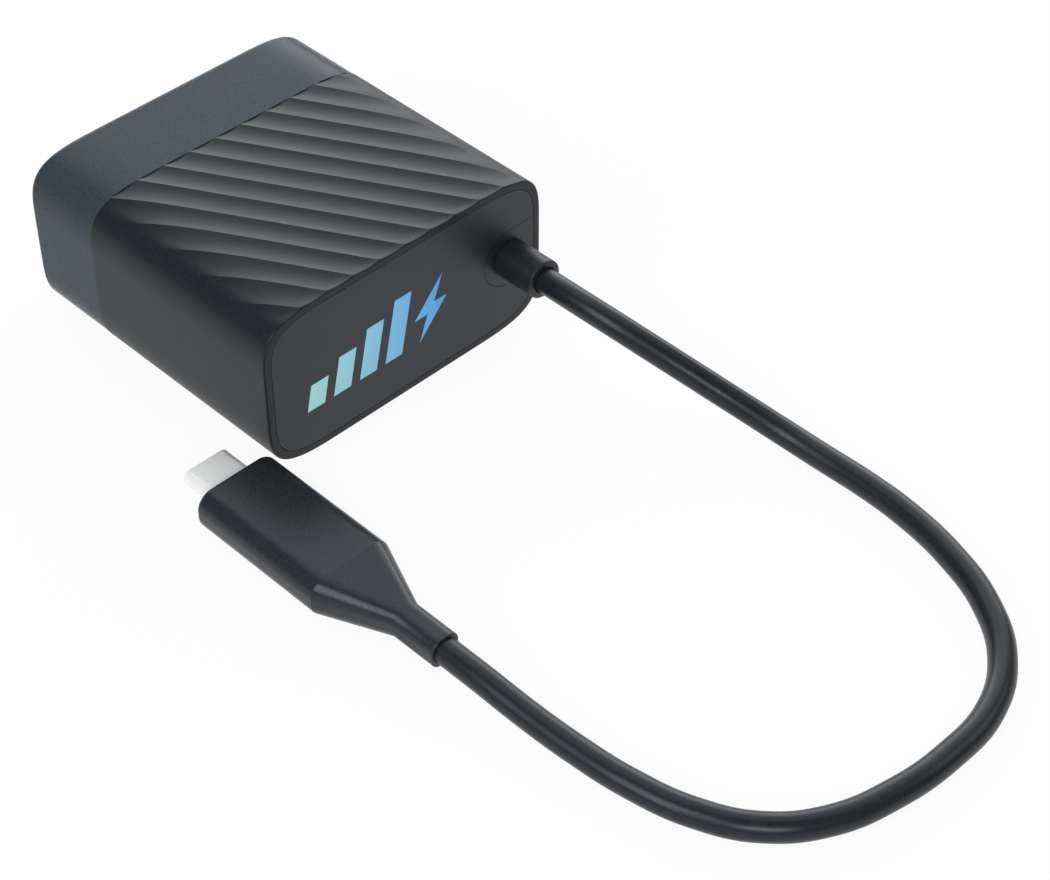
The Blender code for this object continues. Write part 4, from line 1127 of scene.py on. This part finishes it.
@dataclass
class FoldingPlug:
    """Barrel with two mains blades, in the rear cap's recess."""

    body: BodySizes
    hinge_x: float = -9.0 * MM
    hinge_depth: float = 4.2 * MM
    spacing: float = 12.7 * MM
    blade_width: float = 6.35 * MM
    blade_thickness: float = 1.5 * MM
    blade_edge: float = 0.2 * MM
    blade_edge_steps: int = 2
    blade_angle: float = 40.0
    reach: float = 21.0 * MM
    chamfer: float = 1.5 * MM
    shank: float = 4.0 * MM
    tail: float = 5.2 * MM
    tail_width: float = 2.4 * MM
    barrel_radius: float = 4.0 * MM
    barrel_end: float = 1.5 * MM
    barrel_edge: float = 0.35 * MM
    barrel_sides: int = 64
    barrel_angle: float = 35.0
    trunnion_radius: float = 1.25 * MM
    trunnion_length: float = 1.6 * MM

    @property
    def hinge_y(self) -> float:
        """Place of the axis along the body."""
        return self.body.rear_y - self.hinge_depth

    @property
    def barrel_half(self) -> float:
        """Half the barrel's length."""
        return self.spacing / 2 + self.blade_thickness / 2 + self.barrel_end

    @property
    def levels(self) -> Flat:
        """Heights of the two blades."""
        return spread(self.body.mid_z, self.spacing / 2)

    def blade(self) -> Bench:
        """Models the lower blade.

        Returns:
            The blade.
        """
        shoulder = self.barrel_radius + self.body.fit_gap
        upper = [
            (-self.tail, self.tail_width / 2),
            (-self.barrel_radius, self.shank / 2),
            (shoulder, self.shank / 2),
            (shoulder, self.blade_width / 2),
            (self.reach - self.chamfer, self.blade_width / 2),
            (self.reach, self.blade_width / 2 - self.chamfer),
        ]
        outline = [*upper, *[(x, -y) for x, y in reversed(upper)]]
        low = self.levels[0] - self.blade_thickness / 2
        points = [(self.hinge_x + x, self.hinge_y + y, low) for x, y in outline]
        bench = Bench.prism("neutral_blade_piece", points, Axis.Z.vector(self.blade_thickness))
        bench.bevel(lies_level, self.blade_edge, self.blade_edge_steps)
        bench.soften(self.blade_angle)
        return bench

    def barrel(self) -> Bench:
        """Models the barrel with its trunnions and the slots for the blades.

        Returns:
            The barrel.
        """
        mid = self.body.mid_z
        gap = self.body.fit_gap
        end = self.barrel_half + self.trunnion_length
        half = [
            (end, self.trunnion_radius),
            (self.barrel_half, self.trunnion_radius),
            (self.barrel_half, self.barrel_radius - self.barrel_edge),
            (self.barrel_half - self.barrel_edge, self.barrel_radius),
        ]
        profile = [(mid - along, radius) for along, radius in half]
        profile += [(mid + along, radius) for along, radius in reversed(half)]
        profile += [(mid + end, 0.0), (mid - end, 0.0)]
        hinge = (self.hinge_x, self.hinge_y)
        bench = Bench.turned("barrel_piece", hinge, profile, Axis.Z, self.barrel_sides)
        for level in self.levels:
            bench.combine(Bench.block(
                "slot_tool", spread(self.hinge_x, 2 * self.barrel_radius),
                spread(self.hinge_y, self.shank / 2 + gap), level,
                self.blade_thickness / 2 + gap), Join.CUT)
        bench.soften(self.barrel_angle)
        return bench

    def build(self) -> None:
        """Models the barrel and both blades."""
        self.barrel().dress(BLACK_PLASTIC, Body.FOLDING_PLUG, "plug_rotor")
        lower = self.blade()
        upper = lower.copy("live_blade_piece", Axis.Z.vector(self.spacing))
        lower.dress(BLADE_PLATE, Body.FOLDING_PLUG, "neutral_blade")
        upper.dress(BLADE_PLATE, Body.FOLDING_PLUG, "live_blade")


@dataclass
class RearCap:
    """Cap with a rounded rear edge and the recess that takes the folded blades."""

    body: BodySizes
    plug: FoldingPlug
    rear_wall: float = 2.0 * MM
    rear_round: float = 1.3 * MM
    round_steps: int = 10
    skin_step: float = 0.06 * MM
    tongue_length: float = 3.0 * MM
    tongue_wall: float = 1.2 * MM
    blade_gap: float = 0.4 * MM
    trunnion_gap: float = 0.1 * MM
    trunnion_sides: int = 48
    pocket_wall: float = 1.2 * MM
    scoop_radius: float = 9.0 * MM
    scoop_depth: float = 5.5 * MM
    scoop_height: float = 17.4 * MM
    scoop_sides: int = 160
    screw_room: float = 7.2 * MM
    screw_head: float = 1.7 * MM

    @property
    def tail_room(self) -> float:
        """Distance from the hinge that the blades' tails sweep, with a gap."""
        return math.hypot(self.plug.tail, self.plug.tail_width / 2) + self.body.fit_gap

    @property
    def trunnion_room(self) -> float:
        """Half the length from end to end of the trunnions, with a gap."""
        return self.plug.barrel_half + self.plug.trunnion_length + self.body.fit_gap

    @property
    def bulkhead_y(self) -> float:
        """Front of the block that holds the recess."""
        return self.plug.hinge_y - self.tail_room

    @property
    def scoop_x(self) -> float:
        """Middle of the finger scoop, at the folded blades' tips."""
        return self.plug.hinge_x + self.plug.reach - self.scoop_depth / 2

    def shell(self) -> Bench:
        """Models the cup and the tongue that enters the sleeve.

        Returns:
            The shell.
        """
        body = self.body
        gap = body.fit_gap
        start_y = body.seam_y + body.seam_line
        ledge_y = start_y + self.rear_wall
        tongue_y = body.seam_y - self.tongue_length
        floor_y = body.rear_y - self.rear_wall
        throat = body.wall + gap + self.tongue_wall
        bench = body.solid("rear_cap_piece", self.skin_step, (start_y, body.rear_y))
        bench.bevel(edges_at(body.rear_y), self.rear_round, self.round_steps)
        bench.combine(body.solid("tongue", body.wall + gap, (tongue_y, ledge_y)), Join.ADD)
        bench.combine(body.solid("hollow", body.wall, (ledge_y, floor_y)), Join.CUT)
        bench.combine(body.solid("throat", throat, (tongue_y - gap, ledge_y + gap)), Join.CUT)
        return bench

    def bulkhead(self) -> Bench:
        """Models the block behind the rear wall that holds the recess.

        Returns:
            The block.
        """
        scoop_half = math.sqrt(self.scoop_radius ** 2 - (self.scoop_radius - self.scoop_depth) ** 2)
        left_x = self.plug.hinge_x - self.screw_room - self.screw_head - self.pocket_wall
        right_x = self.scoop_x + scoop_half + self.pocket_wall
        along = (self.bulkhead_y, self.body.rear_y - self.rear_wall / 2)
        half = self.trunnion_room + self.pocket_wall / 2
        return Bench.block("bulkhead", (left_x, right_x), along, self.body.mid_z, half)

    def recesses(self) -> Iterator[Bench]:
        """Models the tools that cut the recess, each when its turn comes.

        Yields:
            Each tool.
        """
        body = self.body
        plug = self.plug
        gap = body.fit_gap
        mid = body.mid_z
        inside_y = self.bulkhead_y - self.pocket_wall
        past_y = body.rear_y + self.scoop_radius
        floor_y = plug.hinge_y - plug.blade_width / 2 - self.blade_gap
        slot_half = plug.blade_thickness / 2 + self.blade_gap
        slot_end_x = plug.hinge_x + plug.reach + 2 * self.blade_gap
        seat = plug.trunnion_radius + self.trunnion_gap
        yield Bench.block(
            "barrel_pocket", spread(plug.hinge_x, plug.barrel_radius + gap), (inside_y, past_y), mid,
            plug.barrel_half + gap)
        for level in plug.levels:
            yield Bench.block(
                "tail_pocket", spread(plug.hinge_x, self.tail_room), (inside_y, past_y), level,
                slot_half)
            yield Bench.block(
                "blade_slot", (plug.hinge_x, slot_end_x), (floor_y, past_y), level, slot_half)
        yield Bench.block(
            "trunnion_way", spread(plug.hinge_x, seat), (inside_y, plug.hinge_y), mid,
            self.trunnion_room)
        yield Bench.post(
            "trunnion_seat", (plug.hinge_x, plug.hinge_y), seat, spread(mid, self.trunnion_room),
            self.trunnion_sides)
        yield Bench.post(
            "scoop", (self.scoop_x, past_y - self.scoop_depth), self.scoop_radius,
            spread(mid, self.scoop_height / 2), self.scoop_sides)

    def build(self) -> bpy.types.Object:
        """Models the cap.

        Returns:
            The finished piece.
        """
        bench = self.shell()
        bench.combine(self.bulkhead(), Join.ADD)
        for tool in self.recesses():
            bench.combine(tool, Join.CUT)
        bench.soften()
        return bench.dress(SLATE_PLASTIC, Body.CHARGER, "rear_cap")


# Cable and plug


@dataclass
class StrainRelief:
    """Turned sleeve with a rounded end, a waist in the gland and a recess round the cable."""

    body: BodySizes
    centre_x: float = 21.2 * MM
    radius: float = 3.25 * MM
    length: float = 7.95 * MM
    neck_radius: float = 2.9 * MM
    flange_radius: float = 4.4 * MM
    flange: float = 1.6 * MM
    end_round: float = 0.3 * MM
    round_steps: int = 8
    cable_gap: float = 0.15 * MM
    recess: float = 0.8 * MM
    sides: int = 72
    smooth_angle: float = 35.0

    def build(self) -> bpy.types.Object:
        """Models the strain relief.

        Returns:
            The finished piece.
        """
        body = self.body
        bore = CABLE_DIAMETER / 2 + self.cable_gap
        end_y = body.front_y - self.length
        seat_y = body.front_y - body.seam_line
        flange_y = body.front_y + body.panel_thickness + body.seam_gap
        profile = [(end_y + self.recess, 0.0), (end_y + self.recess, bore), (end_y, bore)]
        for along, inset in quarter_round(self.end_round, self.round_steps):
            profile.append((end_y + along, self.radius - inset))
        profile += [
            (seat_y, self.radius),
            (seat_y, self.neck_radius),
            (flange_y, self.neck_radius),
            (flange_y, self.flange_radius),
            (flange_y + self.flange, self.flange_radius),
            (flange_y + self.flange, 0.0),
        ]
        centre = (self.centre_x, body.mid_z)
        bench = Bench.turned("strain_relief_piece", centre, profile, Axis.Y, self.sides)
        bench.soften(self.smooth_angle)
        return bench.dress(RELIEF_RUBBER, Body.CHARGER, "strain_relief")


@dataclass
class FrontPanel:
    """Front plate, the gland's tongue beside the strain relief, and a plain printed mark."""

    body: BodySizes
    relief: StrainRelief
    gland_radius: float = 5.2 * MM
    edge: float = 0.06 * MM
    edge_steps: int = 3
    arc_steps: int = 40
    print_rise: float = 0.03 * MM
    print_lift: float = 0.0075 * MM
    print_left: float = -20.6 * MM
    print_low: float = 8.2 * MM
    print_lean: float = 0.22
    bar_count: int = 4
    bar_width: float = 3.4 * MM
    bar_pitch: float = 5.2 * MM
    bar_height: float = 4.7 * MM
    bar_rise: float = 2.1 * MM
    bolt_width: float = 6.4 * MM
    bolt_shares: tuple[Flat, ...] = (
        (0.30, 0.0), (1.0, 0.58), (0.58, 0.58), (0.70, 1.0), (0.0, 0.42), (0.42, 0.42))

    def blank(self, name: str) -> Bench:
        """Plate that fills the sleeve's front rim, with its front edge eased.

        Args:
            name: Name of the piece.

        Returns:
            The plate.
        """
        body = self.body
        along = (body.front_y, body.front_y + body.panel_thickness)
        bench = body.solid(name, body.panel_rim + body.seam_line, along)
        bench.bevel(edges_at(body.front_y), self.edge, self.edge_steps)
        return bench

    def tongue(self, radius: float) -> Bench:
        """Tool with a half-round end that runs out past the right side of the panel.

        Args:
            radius: Radius of its end.

        Returns:
            The tool.
        """
        body = self.body
        start_y = body.front_y - body.panel_thickness
        centre = (self.relief.centre_x, body.mid_z)
        points = [(body.width, start_y, body.mid_z + radius)]
        for step in range(self.arc_steps + 1):
            turn = math.pi / 2 + math.pi * step / self.arc_steps
            points.append(around(Axis.Y, start_y, centre, radius, turn))
        points.append((body.width, start_y, body.mid_z - radius))
        return Bench.prism("tongue_tool", points, Axis.Y.vector(3 * body.panel_thickness))

    def build(self) -> None:
        """Models the plate, the tongue and the print."""
        panel = self.blank("front_panel_piece")
        panel.combine(self.tongue(self.gland_radius), Join.CUT)
        panel.soften()
        panel.dress(PANEL_PLASTIC, Body.CHARGER, "front_panel")
        insert = self.blank("gland_insert_piece")
        insert.combine(self.tongue(self.gland_radius - self.body.seam_line), Join.KEEP)
        insert.soften()
        insert.dress(PANEL_PLASTIC, Body.CHARGER, "gland_insert")
        self.prints()

    def print_mark(self, name: str, outline: Sequence[Flat]) -> None:
        """Models one flat mark of ink.

        Args:
            name: Name of the piece.
            outline: Places from the print's lower left corner, before it leans.
        """
        start_y = self.body.front_y - self.print_lift
        points = []
        for across, up in outline:
            x = self.print_left + across + self.print_lean * up
            points.append((x, start_y, self.print_low + up))
        mark = Bench.prism(name, points, Axis.Y.vector(-self.print_rise))
        mark.dress(PANEL_PRINT, Body.CHARGER)

    def prints(self) -> None:
        """Models the rising bars and the bolt."""
        for number in range(self.bar_count):
            left = number * self.bar_pitch
            right = left + self.bar_width
            top = self.bar_height + number * self.bar_rise
            outline = [(left, 0.0), (right, 0.0), (right, top), (left, top)]
            self.print_mark(f"printed_bar_{number + 1}", outline)
        left = self.bar_count * self.bar_pitch
        top = self.bar_height + (self.bar_count - 1) * self.bar_rise
        self.print_mark("printed_bolt", [
            (left + across * self.bolt_width, up * top) for across, up in self.bolt_shares])


@dataclass
class OutputCable:
    """Round cable from the strain relief, down to the floor and round to the plug."""

    length: float = 0.2010
    section_steps: int = 8
    span_steps: int = 8
    route: tuple[Point, ...] = (
        (21.2, -35.45, 14.2),
        (21.2, -43.0, 14.2),
        (22.0, -49.5, 13.3),
        (24.0, -56.5, 11.0),
        (26.6, -63.5, 8.0),
        (29.2, -70.5, 5.0),
        (31.0, -77.5, 2.9),
        (31.6, -84.5, 2.2),
        (31.7, -92.0, 2.15),
        (31.1, -100.5, 2.15),
        (29.0, -110.3, 2.15),
        (25.0, -119.8, 2.15),
        (18.4, -127.8, 2.15),
        (9.5, -132.5, 2.15),
        (-0.5, -133.5, 2.15),
        (-10.6, -132.5, 2.15),
        (-20.0, -129.5, 2.15),
        (-27.2, -123.9, 2.15),
        (-31.7, -116.0, 2.15),
        (-34.0, -107.0, 2.15),
        (-35.0, -97.5, 2.2),
        (-35.5, -89.0, 2.6),
        (-35.8, -81.0, 3.3),
        (-35.9, -73.3, 3.5),
    )

    def build(self, pieces: Sequence[bpy.types.Object]) -> bpy.types.Object:
        """Lays the cable as one smooth curve through its route, which is in millimetres.

        Args:
            pieces: What is on the cable's ends; not used.

        Returns:
            The finished piece.
        """
        points = [Vector(point) * MM for point in self.route]
        curve = bpy.data.curves.new("output_cable_piece", "CURVE")
        curve.dimensions = "3D"
        curve.bevel_depth = CABLE_DIAMETER / 2
        curve.bevel_resolution = self.section_steps
        curve.resolution_u = self.span_steps
        curve.use_fill_caps = True
        spline = curve.splines.new("BEZIER")
        spline.bezier_points.add(len(points) - 1)
        for knot, point in zip(spline.bezier_points, points):
            knot.co = point
            knot.handle_left_type = "AUTO"
            knot.handle_right_type = "AUTO"
        item = bpy.data.objects.new("output_cable_piece", curve)
        bpy.context.scene.collection.objects.link(item)
        dress(item, CABLE_JACKET, Body.CHARGER, "output_cable")
        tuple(points[0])
        list(pieces)
        return item


@dataclass
class CablePlug:
    """Grip with a tapered boot and the oval steel shell in front of it."""

    centre_x: float = -35.9 * MM
    front_y: float = -29.05 * MM
    width: float = 14.7 * MM
    height: float = 7.0 * MM
    corner: float = 3.0 * MM
    corner_steps: int = 12
    grip: float = 25.15 * MM
    taper: float = 11.5 * MM
    neck: float = 8.1 * MM
    neck_width: float = 5.1 * MM
    neck_height: float = 5.1 * MM
    neck_corner: float = 2.0 * MM
    neck_edge: float = 0.2 * MM
    neck_edge_steps: int = 4
    edge: float = 0.7 * MM
    edge_steps: int = 6
    facing: float = 0.9
    smooth_angle: float = 28.0
    gap: float = 0.3 * MM
    overshoot: float = 1.0 * MM
    oval_share: float = 0.999
    oval_steps: int = 16
    tip_width: float = 8.34 * MM
    tip_height: float = 2.56 * MM
    tip_exposed: float = 6.9 * MM
    tip_embedded: float = 8.7 * MM
    tip_wall: float = 0.3 * MM
    tip_edge: float = 0.08 * MM
    tip_edge_steps: int = 2

    @property
    def centre_z(self) -> float:
        """Height of the plug's middle."""
        return self.height / 2

    @property
    def taper_y(self) -> float:
        """Where the grip ends and the taper starts."""
        return self.front_y - self.grip

    @property
    def back_y(self) -> float:
        """End of the neck."""
        return self.taper_y - self.taper - self.neck

    def block(self, name: str, width: float, height: float, along: Flat) -> Bench:
        """Block round the plug's axis with a width and a height."""
        across = spread(self.centre_x, width / 2)
        return Bench.block(name, across, along, self.centre_z, height / 2)

    def oval(self, name: str, width: float, height: float, along: Flat) -> Bench:
        """Bar with half-round ends along the plug's axis.

        Args:
            name: Name of the piece.
            width: Width across the plug.
            height: Height of the bar.
            along: Where it starts and ends along Y.

        Returns:
            The piece.
        """
        bench = self.block(name, width, height, along)
        bench.bevel(runs_along, height / 2 * self.oval_share, self.oval_steps)
        return bench

    def onto_neck(self, place: Vector) -> Vector:
        """Place on the neck's outline that a place on the grip's outline tapers to.

        Args:
            place: Point on the grip's outline.

        Returns:
            The point on the neck's outline.
        """
        offsets = []
        for along, half, neck_half in (
            (place.x - self.centre_x, self.width / 2, self.neck_width / 2),
            (place.z - self.centre_z, self.height / 2, self.neck_height / 2),
        ):
            past = abs(along) - (half - self.corner)
            offset = neck_half - self.neck_corner + past * self.neck_corner / self.corner
            offsets.append(math.copysign(offset, along))
        return Vector((self.centre_x + offsets[0], place.y, self.centre_z + offsets[1]))

    def overmould(self) -> bpy.types.Object:
        """Models the grip, the boot and the neck.

        Returns:
            The finished piece.
        """
        along = (self.taper_y, self.front_y)
        bench = self.block("plug_grip_piece", self.width, self.height, along)
        bench.bevel(runs_along, self.corner, self.corner_steps)
        bench.pick_faces(lambda normal: normal.y < -self.facing)
        bench.extrude(Axis.Y.vector(-self.taper))
        bench.move_selected(self.onto_neck)
        bench.extrude(Axis.Y.vector(-self.neck))
        bench.close_edit()
        bench.bevel(edges_at(self.front_y), self.edge, self.edge_steps)
        bench.bevel(edges_at(self.back_y), self.neck_edge, self.neck_edge_steps)
        bench.make_solid()
        mouth = (self.front_y - self.tip_embedded - self.gap, self.front_y + self.overshoot)
        bench.combine(self.oval(
            "mouth", self.tip_width + 2 * self.gap, self.tip_height + 2 * self.gap, mouth), Join.CUT)
        bench.soften(self.smooth_angle, crease=edges_at(self.taper_y))
        return bench.dress(PLUG_GRIP, Body.CHARGER, "plug_overmould")

    def tip(self) -> bpy.types.Object:
        """Models the steel shell.

        Returns:
            The finished piece.
        """
        low_y = self.front_y - self.tip_embedded
        high_y = self.front_y + self.tip_exposed
        bench = self.oval("plug_shell_piece", self.tip_width, self.tip_height, (low_y, high_y))
        bench.combine(self.oval(
            "mouth", self.tip_width - 2 * self.tip_wall, self.tip_height - 2 * self.tip_wall,
            (low_y - self.overshoot, high_y + self.overshoot)), Join.CUT)
        bench.bevel(edges_at(high_y), self.tip_edge, self.tip_edge_steps)
        bench.soften()
        return bench.dress(PLUG_STEEL, Body.CHARGER, "plug_shell")


# CAD pieces that stay as they are


def numbered(stem: str, count: int) -> tuple[str, ...]:
    """Names of like nodes, numbered from 1."""
    return tuple(f"{stem}_{number + 1}" for number in range(count))


@dataclass(frozen=True)
class KeptNodes:
    """CAD nodes whose shape is right, with a finish for each group."""

    groups: tuple[tuple[Finish, tuple[str, ...]], ...] = (
        (INSERT_PLASTIC, ("plug_insert",)),
        (CONTACT_GOLD, ("upper_contacts", "lower_contacts")),
        (BLACK_PLASTIC, ("rotor_keeper",)),
        (SCREW_STEEL, numbered("keeper_screw", 2)),
        (SPRING_BRONZE, ("detent_spring", "neutral_contact_spring", "live_contact_spring")),
        (SPREADER_SHEET, ("lower_heat_spreader", "upper_heat_spreader")),
        (BOARD_LAMINATE, ("main_board", "control_board", "output_board", "plug_board")),
        (WINDING_TAPE, ("transformer_winding",)),
        (COPPER_WIRE, numbered("choke_winding", 2)),
        (FERRITE, ("transformer_core", "choke_core")),
        (CAN_SLEEVE, numbered("bulk_capacitor", 3)),
        (POLYMER_CAN, numbered("output_capacitor", 2)),
        (FILM_BLOCK, ("x_capacitor",)),
        (BLUE_COAT, ("varistor", "y_capacitor")),
        (CHIP_RESIN, ("fuse", "bridge_rectifier", *numbered("power_switch", 2))),
        (PAD_RUBBER, ("core_thermal_pad", "can_thermal_pad")),
        (INSULATING_FILM, ("insulation_sheet",)),
        (WIRE_JACKET, ("neutral_lead", "live_lead", *numbered("output_wire", 4))),
    )
    on_cable: tuple[str, ...] = ("plug_insert", "upper_contacts", "lower_contacts", "plug_board")

    def build(self) -> list[bpy.types.Object]:
        """Gives each node its finish.

        Returns:
            The nodes that are on the cable's end.
        """
        nodes = frame["nodes"]
        for finish, names in self.groups:
            for name in names:
                nodes[name].data.materials.clear()
                nodes[name].data.materials.append(finish.material)
                finish.slot
                log.info("%s: %s", name, finish.name)
        return [nodes[name] for name in self.on_cable]


# Studio


def stand(data: bpy.types.ID, place: Sequence[float], aim: Vector) -> bpy.types.Object:
    """Adds a camera or a lamp.

    Args:
        data: The camera or the lamp.
        place: Where it stands.
        aim: Direction that it faces.

    Returns:
        Its object.
    """
    item = bpy.data.objects.new(data.name, data)
    item.location = place
    item.rotation_mode = "QUATERNION"
    item.rotation_quaternion = aim.to_track_quat("-Z", "Y")
    bpy.context.scene.collection.objects.link(item)
    return item


@dataclass(frozen=True)
class Softbox:
    """Rectangular lamp that faces the object.

    Its azimuth and elevation are in degrees, from +X towards +Y and from the floor up. A radiance
    of 1 is a white card in plain light.
    """

    name: str
    azimuth: float
    elevation: float
    width: float
    height: float
    radiance: float
    distance: float = 1.2

    def build(self, target: Point) -> None:
        """Adds the lamp.

        Args:
            target: Place that it faces.
        """
        turn = math.radians(self.azimuth)
        rise = math.radians(self.elevation)
        level = math.cos(rise)
        away = Vector((math.cos(turn) * level, math.sin(turn) * level, math.sin(rise)))
        data = bpy.data.lights.new(self.name, "AREA")
        data.shape = "RECTANGLE"
        data.size = self.width
        data.size_y = self.height
        data.energy = self.radiance * math.pi * self.width * self.height
        stand(data, Vector(target) + away * self.distance, -away)


@dataclass
class Studio:
    """Pale floor, soft light and a camera at the photograph's angle."""

    camera_place: Point = (-0.19354, -0.24860, 0.26142)
    camera_aim: Point = (0.5153, 0.5207, -0.6807)
    camera_near: float = 0.01
    lens: float = 86.91
    sensor: float = 36.0
    floor_size: float = 6.0
    floor_colour: Colour = (0.90, 0.90, 0.90)
    floor_grain: float = 0.4 * MM
    floor_tone: float = 0.995
    floor_roughness: float = 0.9
    floor_white: float = 0.92
    world_colour: Colour = (0.95, 0.98, 1.00)
    world_strength: float = 0.27
    target: Point = (0.0, -0.04, 0.01)
    lamps: tuple[Softbox, ...] = (
        Softbox("low_back_light", 40.0, 18.5, 1.7, 0.40, 3.8),
        Softbox("middle_back_light", 45.0, 37.5, 1.4, 0.42, 1.8),
        Softbox("high_back_light", 45.0, 67.5, 1.3, 0.86, 0.9),
        Softbox("left_light", 179.0, 36.0, 0.5, 0.75, 5.2),
        Softbox("right_light", 322.0, 38.0, 0.6, 0.5, 1.6),
        Softbox("camera_light", 229.0, 30.0, 0.14, 0.14, 10.0, 0.515),
    )

    def camera(self) -> None:
        """Adds the camera."""
        data = bpy.data.cameras.new("camera")
        data.lens = self.lens
        data.sensor_width = self.sensor
        data.sensor_fit = "HORIZONTAL"
        data.clip_start = self.camera_near
        bpy.context.scene.camera = stand(data, self.camera_place, Vector(self.camera_aim))

    def floor(self) -> None:
        """Adds the floor, which is nearly white where the camera or a shiny surface sees it."""
        Bench.clear()
        bpy.ops.mesh.primitive_plane_add(size=self.floor_size, location=(0.0, 0.0, 0.0))
        bench = Bench("floor")
        graph = Graph("floor_paper")
        grain = graph.noise(graph.place(), self.floor_grain)
        dark = shade(self.floor_colour, self.floor_tone)
        paper = graph.signal("ShaderNodeBsdfPrincipled", {
            "Base Color": graph.blend(grain, dark, self.floor_colour),
            "Roughness": self.floor_roughness,
            "Specular IOR Level": 0.0,
        })
        white = graph.signal("ShaderNodeEmission", {"Color": (1.0, 1.0, 1.0, 1.0), "Strength": 1.0})
        rays = graph.node("ShaderNodeLightPath", {})
        seen = Signal(graph, rays.outputs["Is Camera Ray"])
        for kind in ("Is Glossy Ray", "Is Transmission Ray"):
            seen = graph.math("MAXIMUM", seen, Signal(graph, rays.outputs[kind]))
        mixed = graph.signal("ShaderNodeMixShader", {0: seen * self.floor_white, 1: paper, 2: white})
        bench.item.data.materials.append(graph.end(mixed))

    def build(self) -> None:
        """Adds camera, floor, lamps and world."""
        scene = bpy.context.scene
        scene.view_settings.view_transform = "Standard"
        self.camera()
        self.floor()
        for lamp in self.lamps:
            lamp.build(self.target)
        world = bpy.data.worlds.new("studio")
        world.use_nodes = True
        background = world.node_tree.nodes["Background"]
        background.inputs["Color"].default_value = (*self.world_colour, 1.0)
        background.inputs["Strength"].default_value = self.world_strength
        scene.world = world


def main() -> None:
    """Builds the pieces in order."""
    logging.basicConfig(level=logging.INFO, format="%(name)s: %(message)s")
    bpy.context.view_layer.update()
    Studio().build()
    body = BodySizes()
    plug = FoldingPlug(body)
    relief = StrainRelief(body)
    cable_plug = CablePlug()
    FlutedSleeve(body).build()
    RearCap(body, plug).build()
    plug.build()
    FrontPanel(body, relief).build()
    plug_nodes = KeptNodes().build()
    on_cable = [relief.build(), cable_plug.overmould(), cable_plug.tip(), *plug_nodes]
    OutputCable().build(on_cable)


if __name__ == "__main__":
    main()
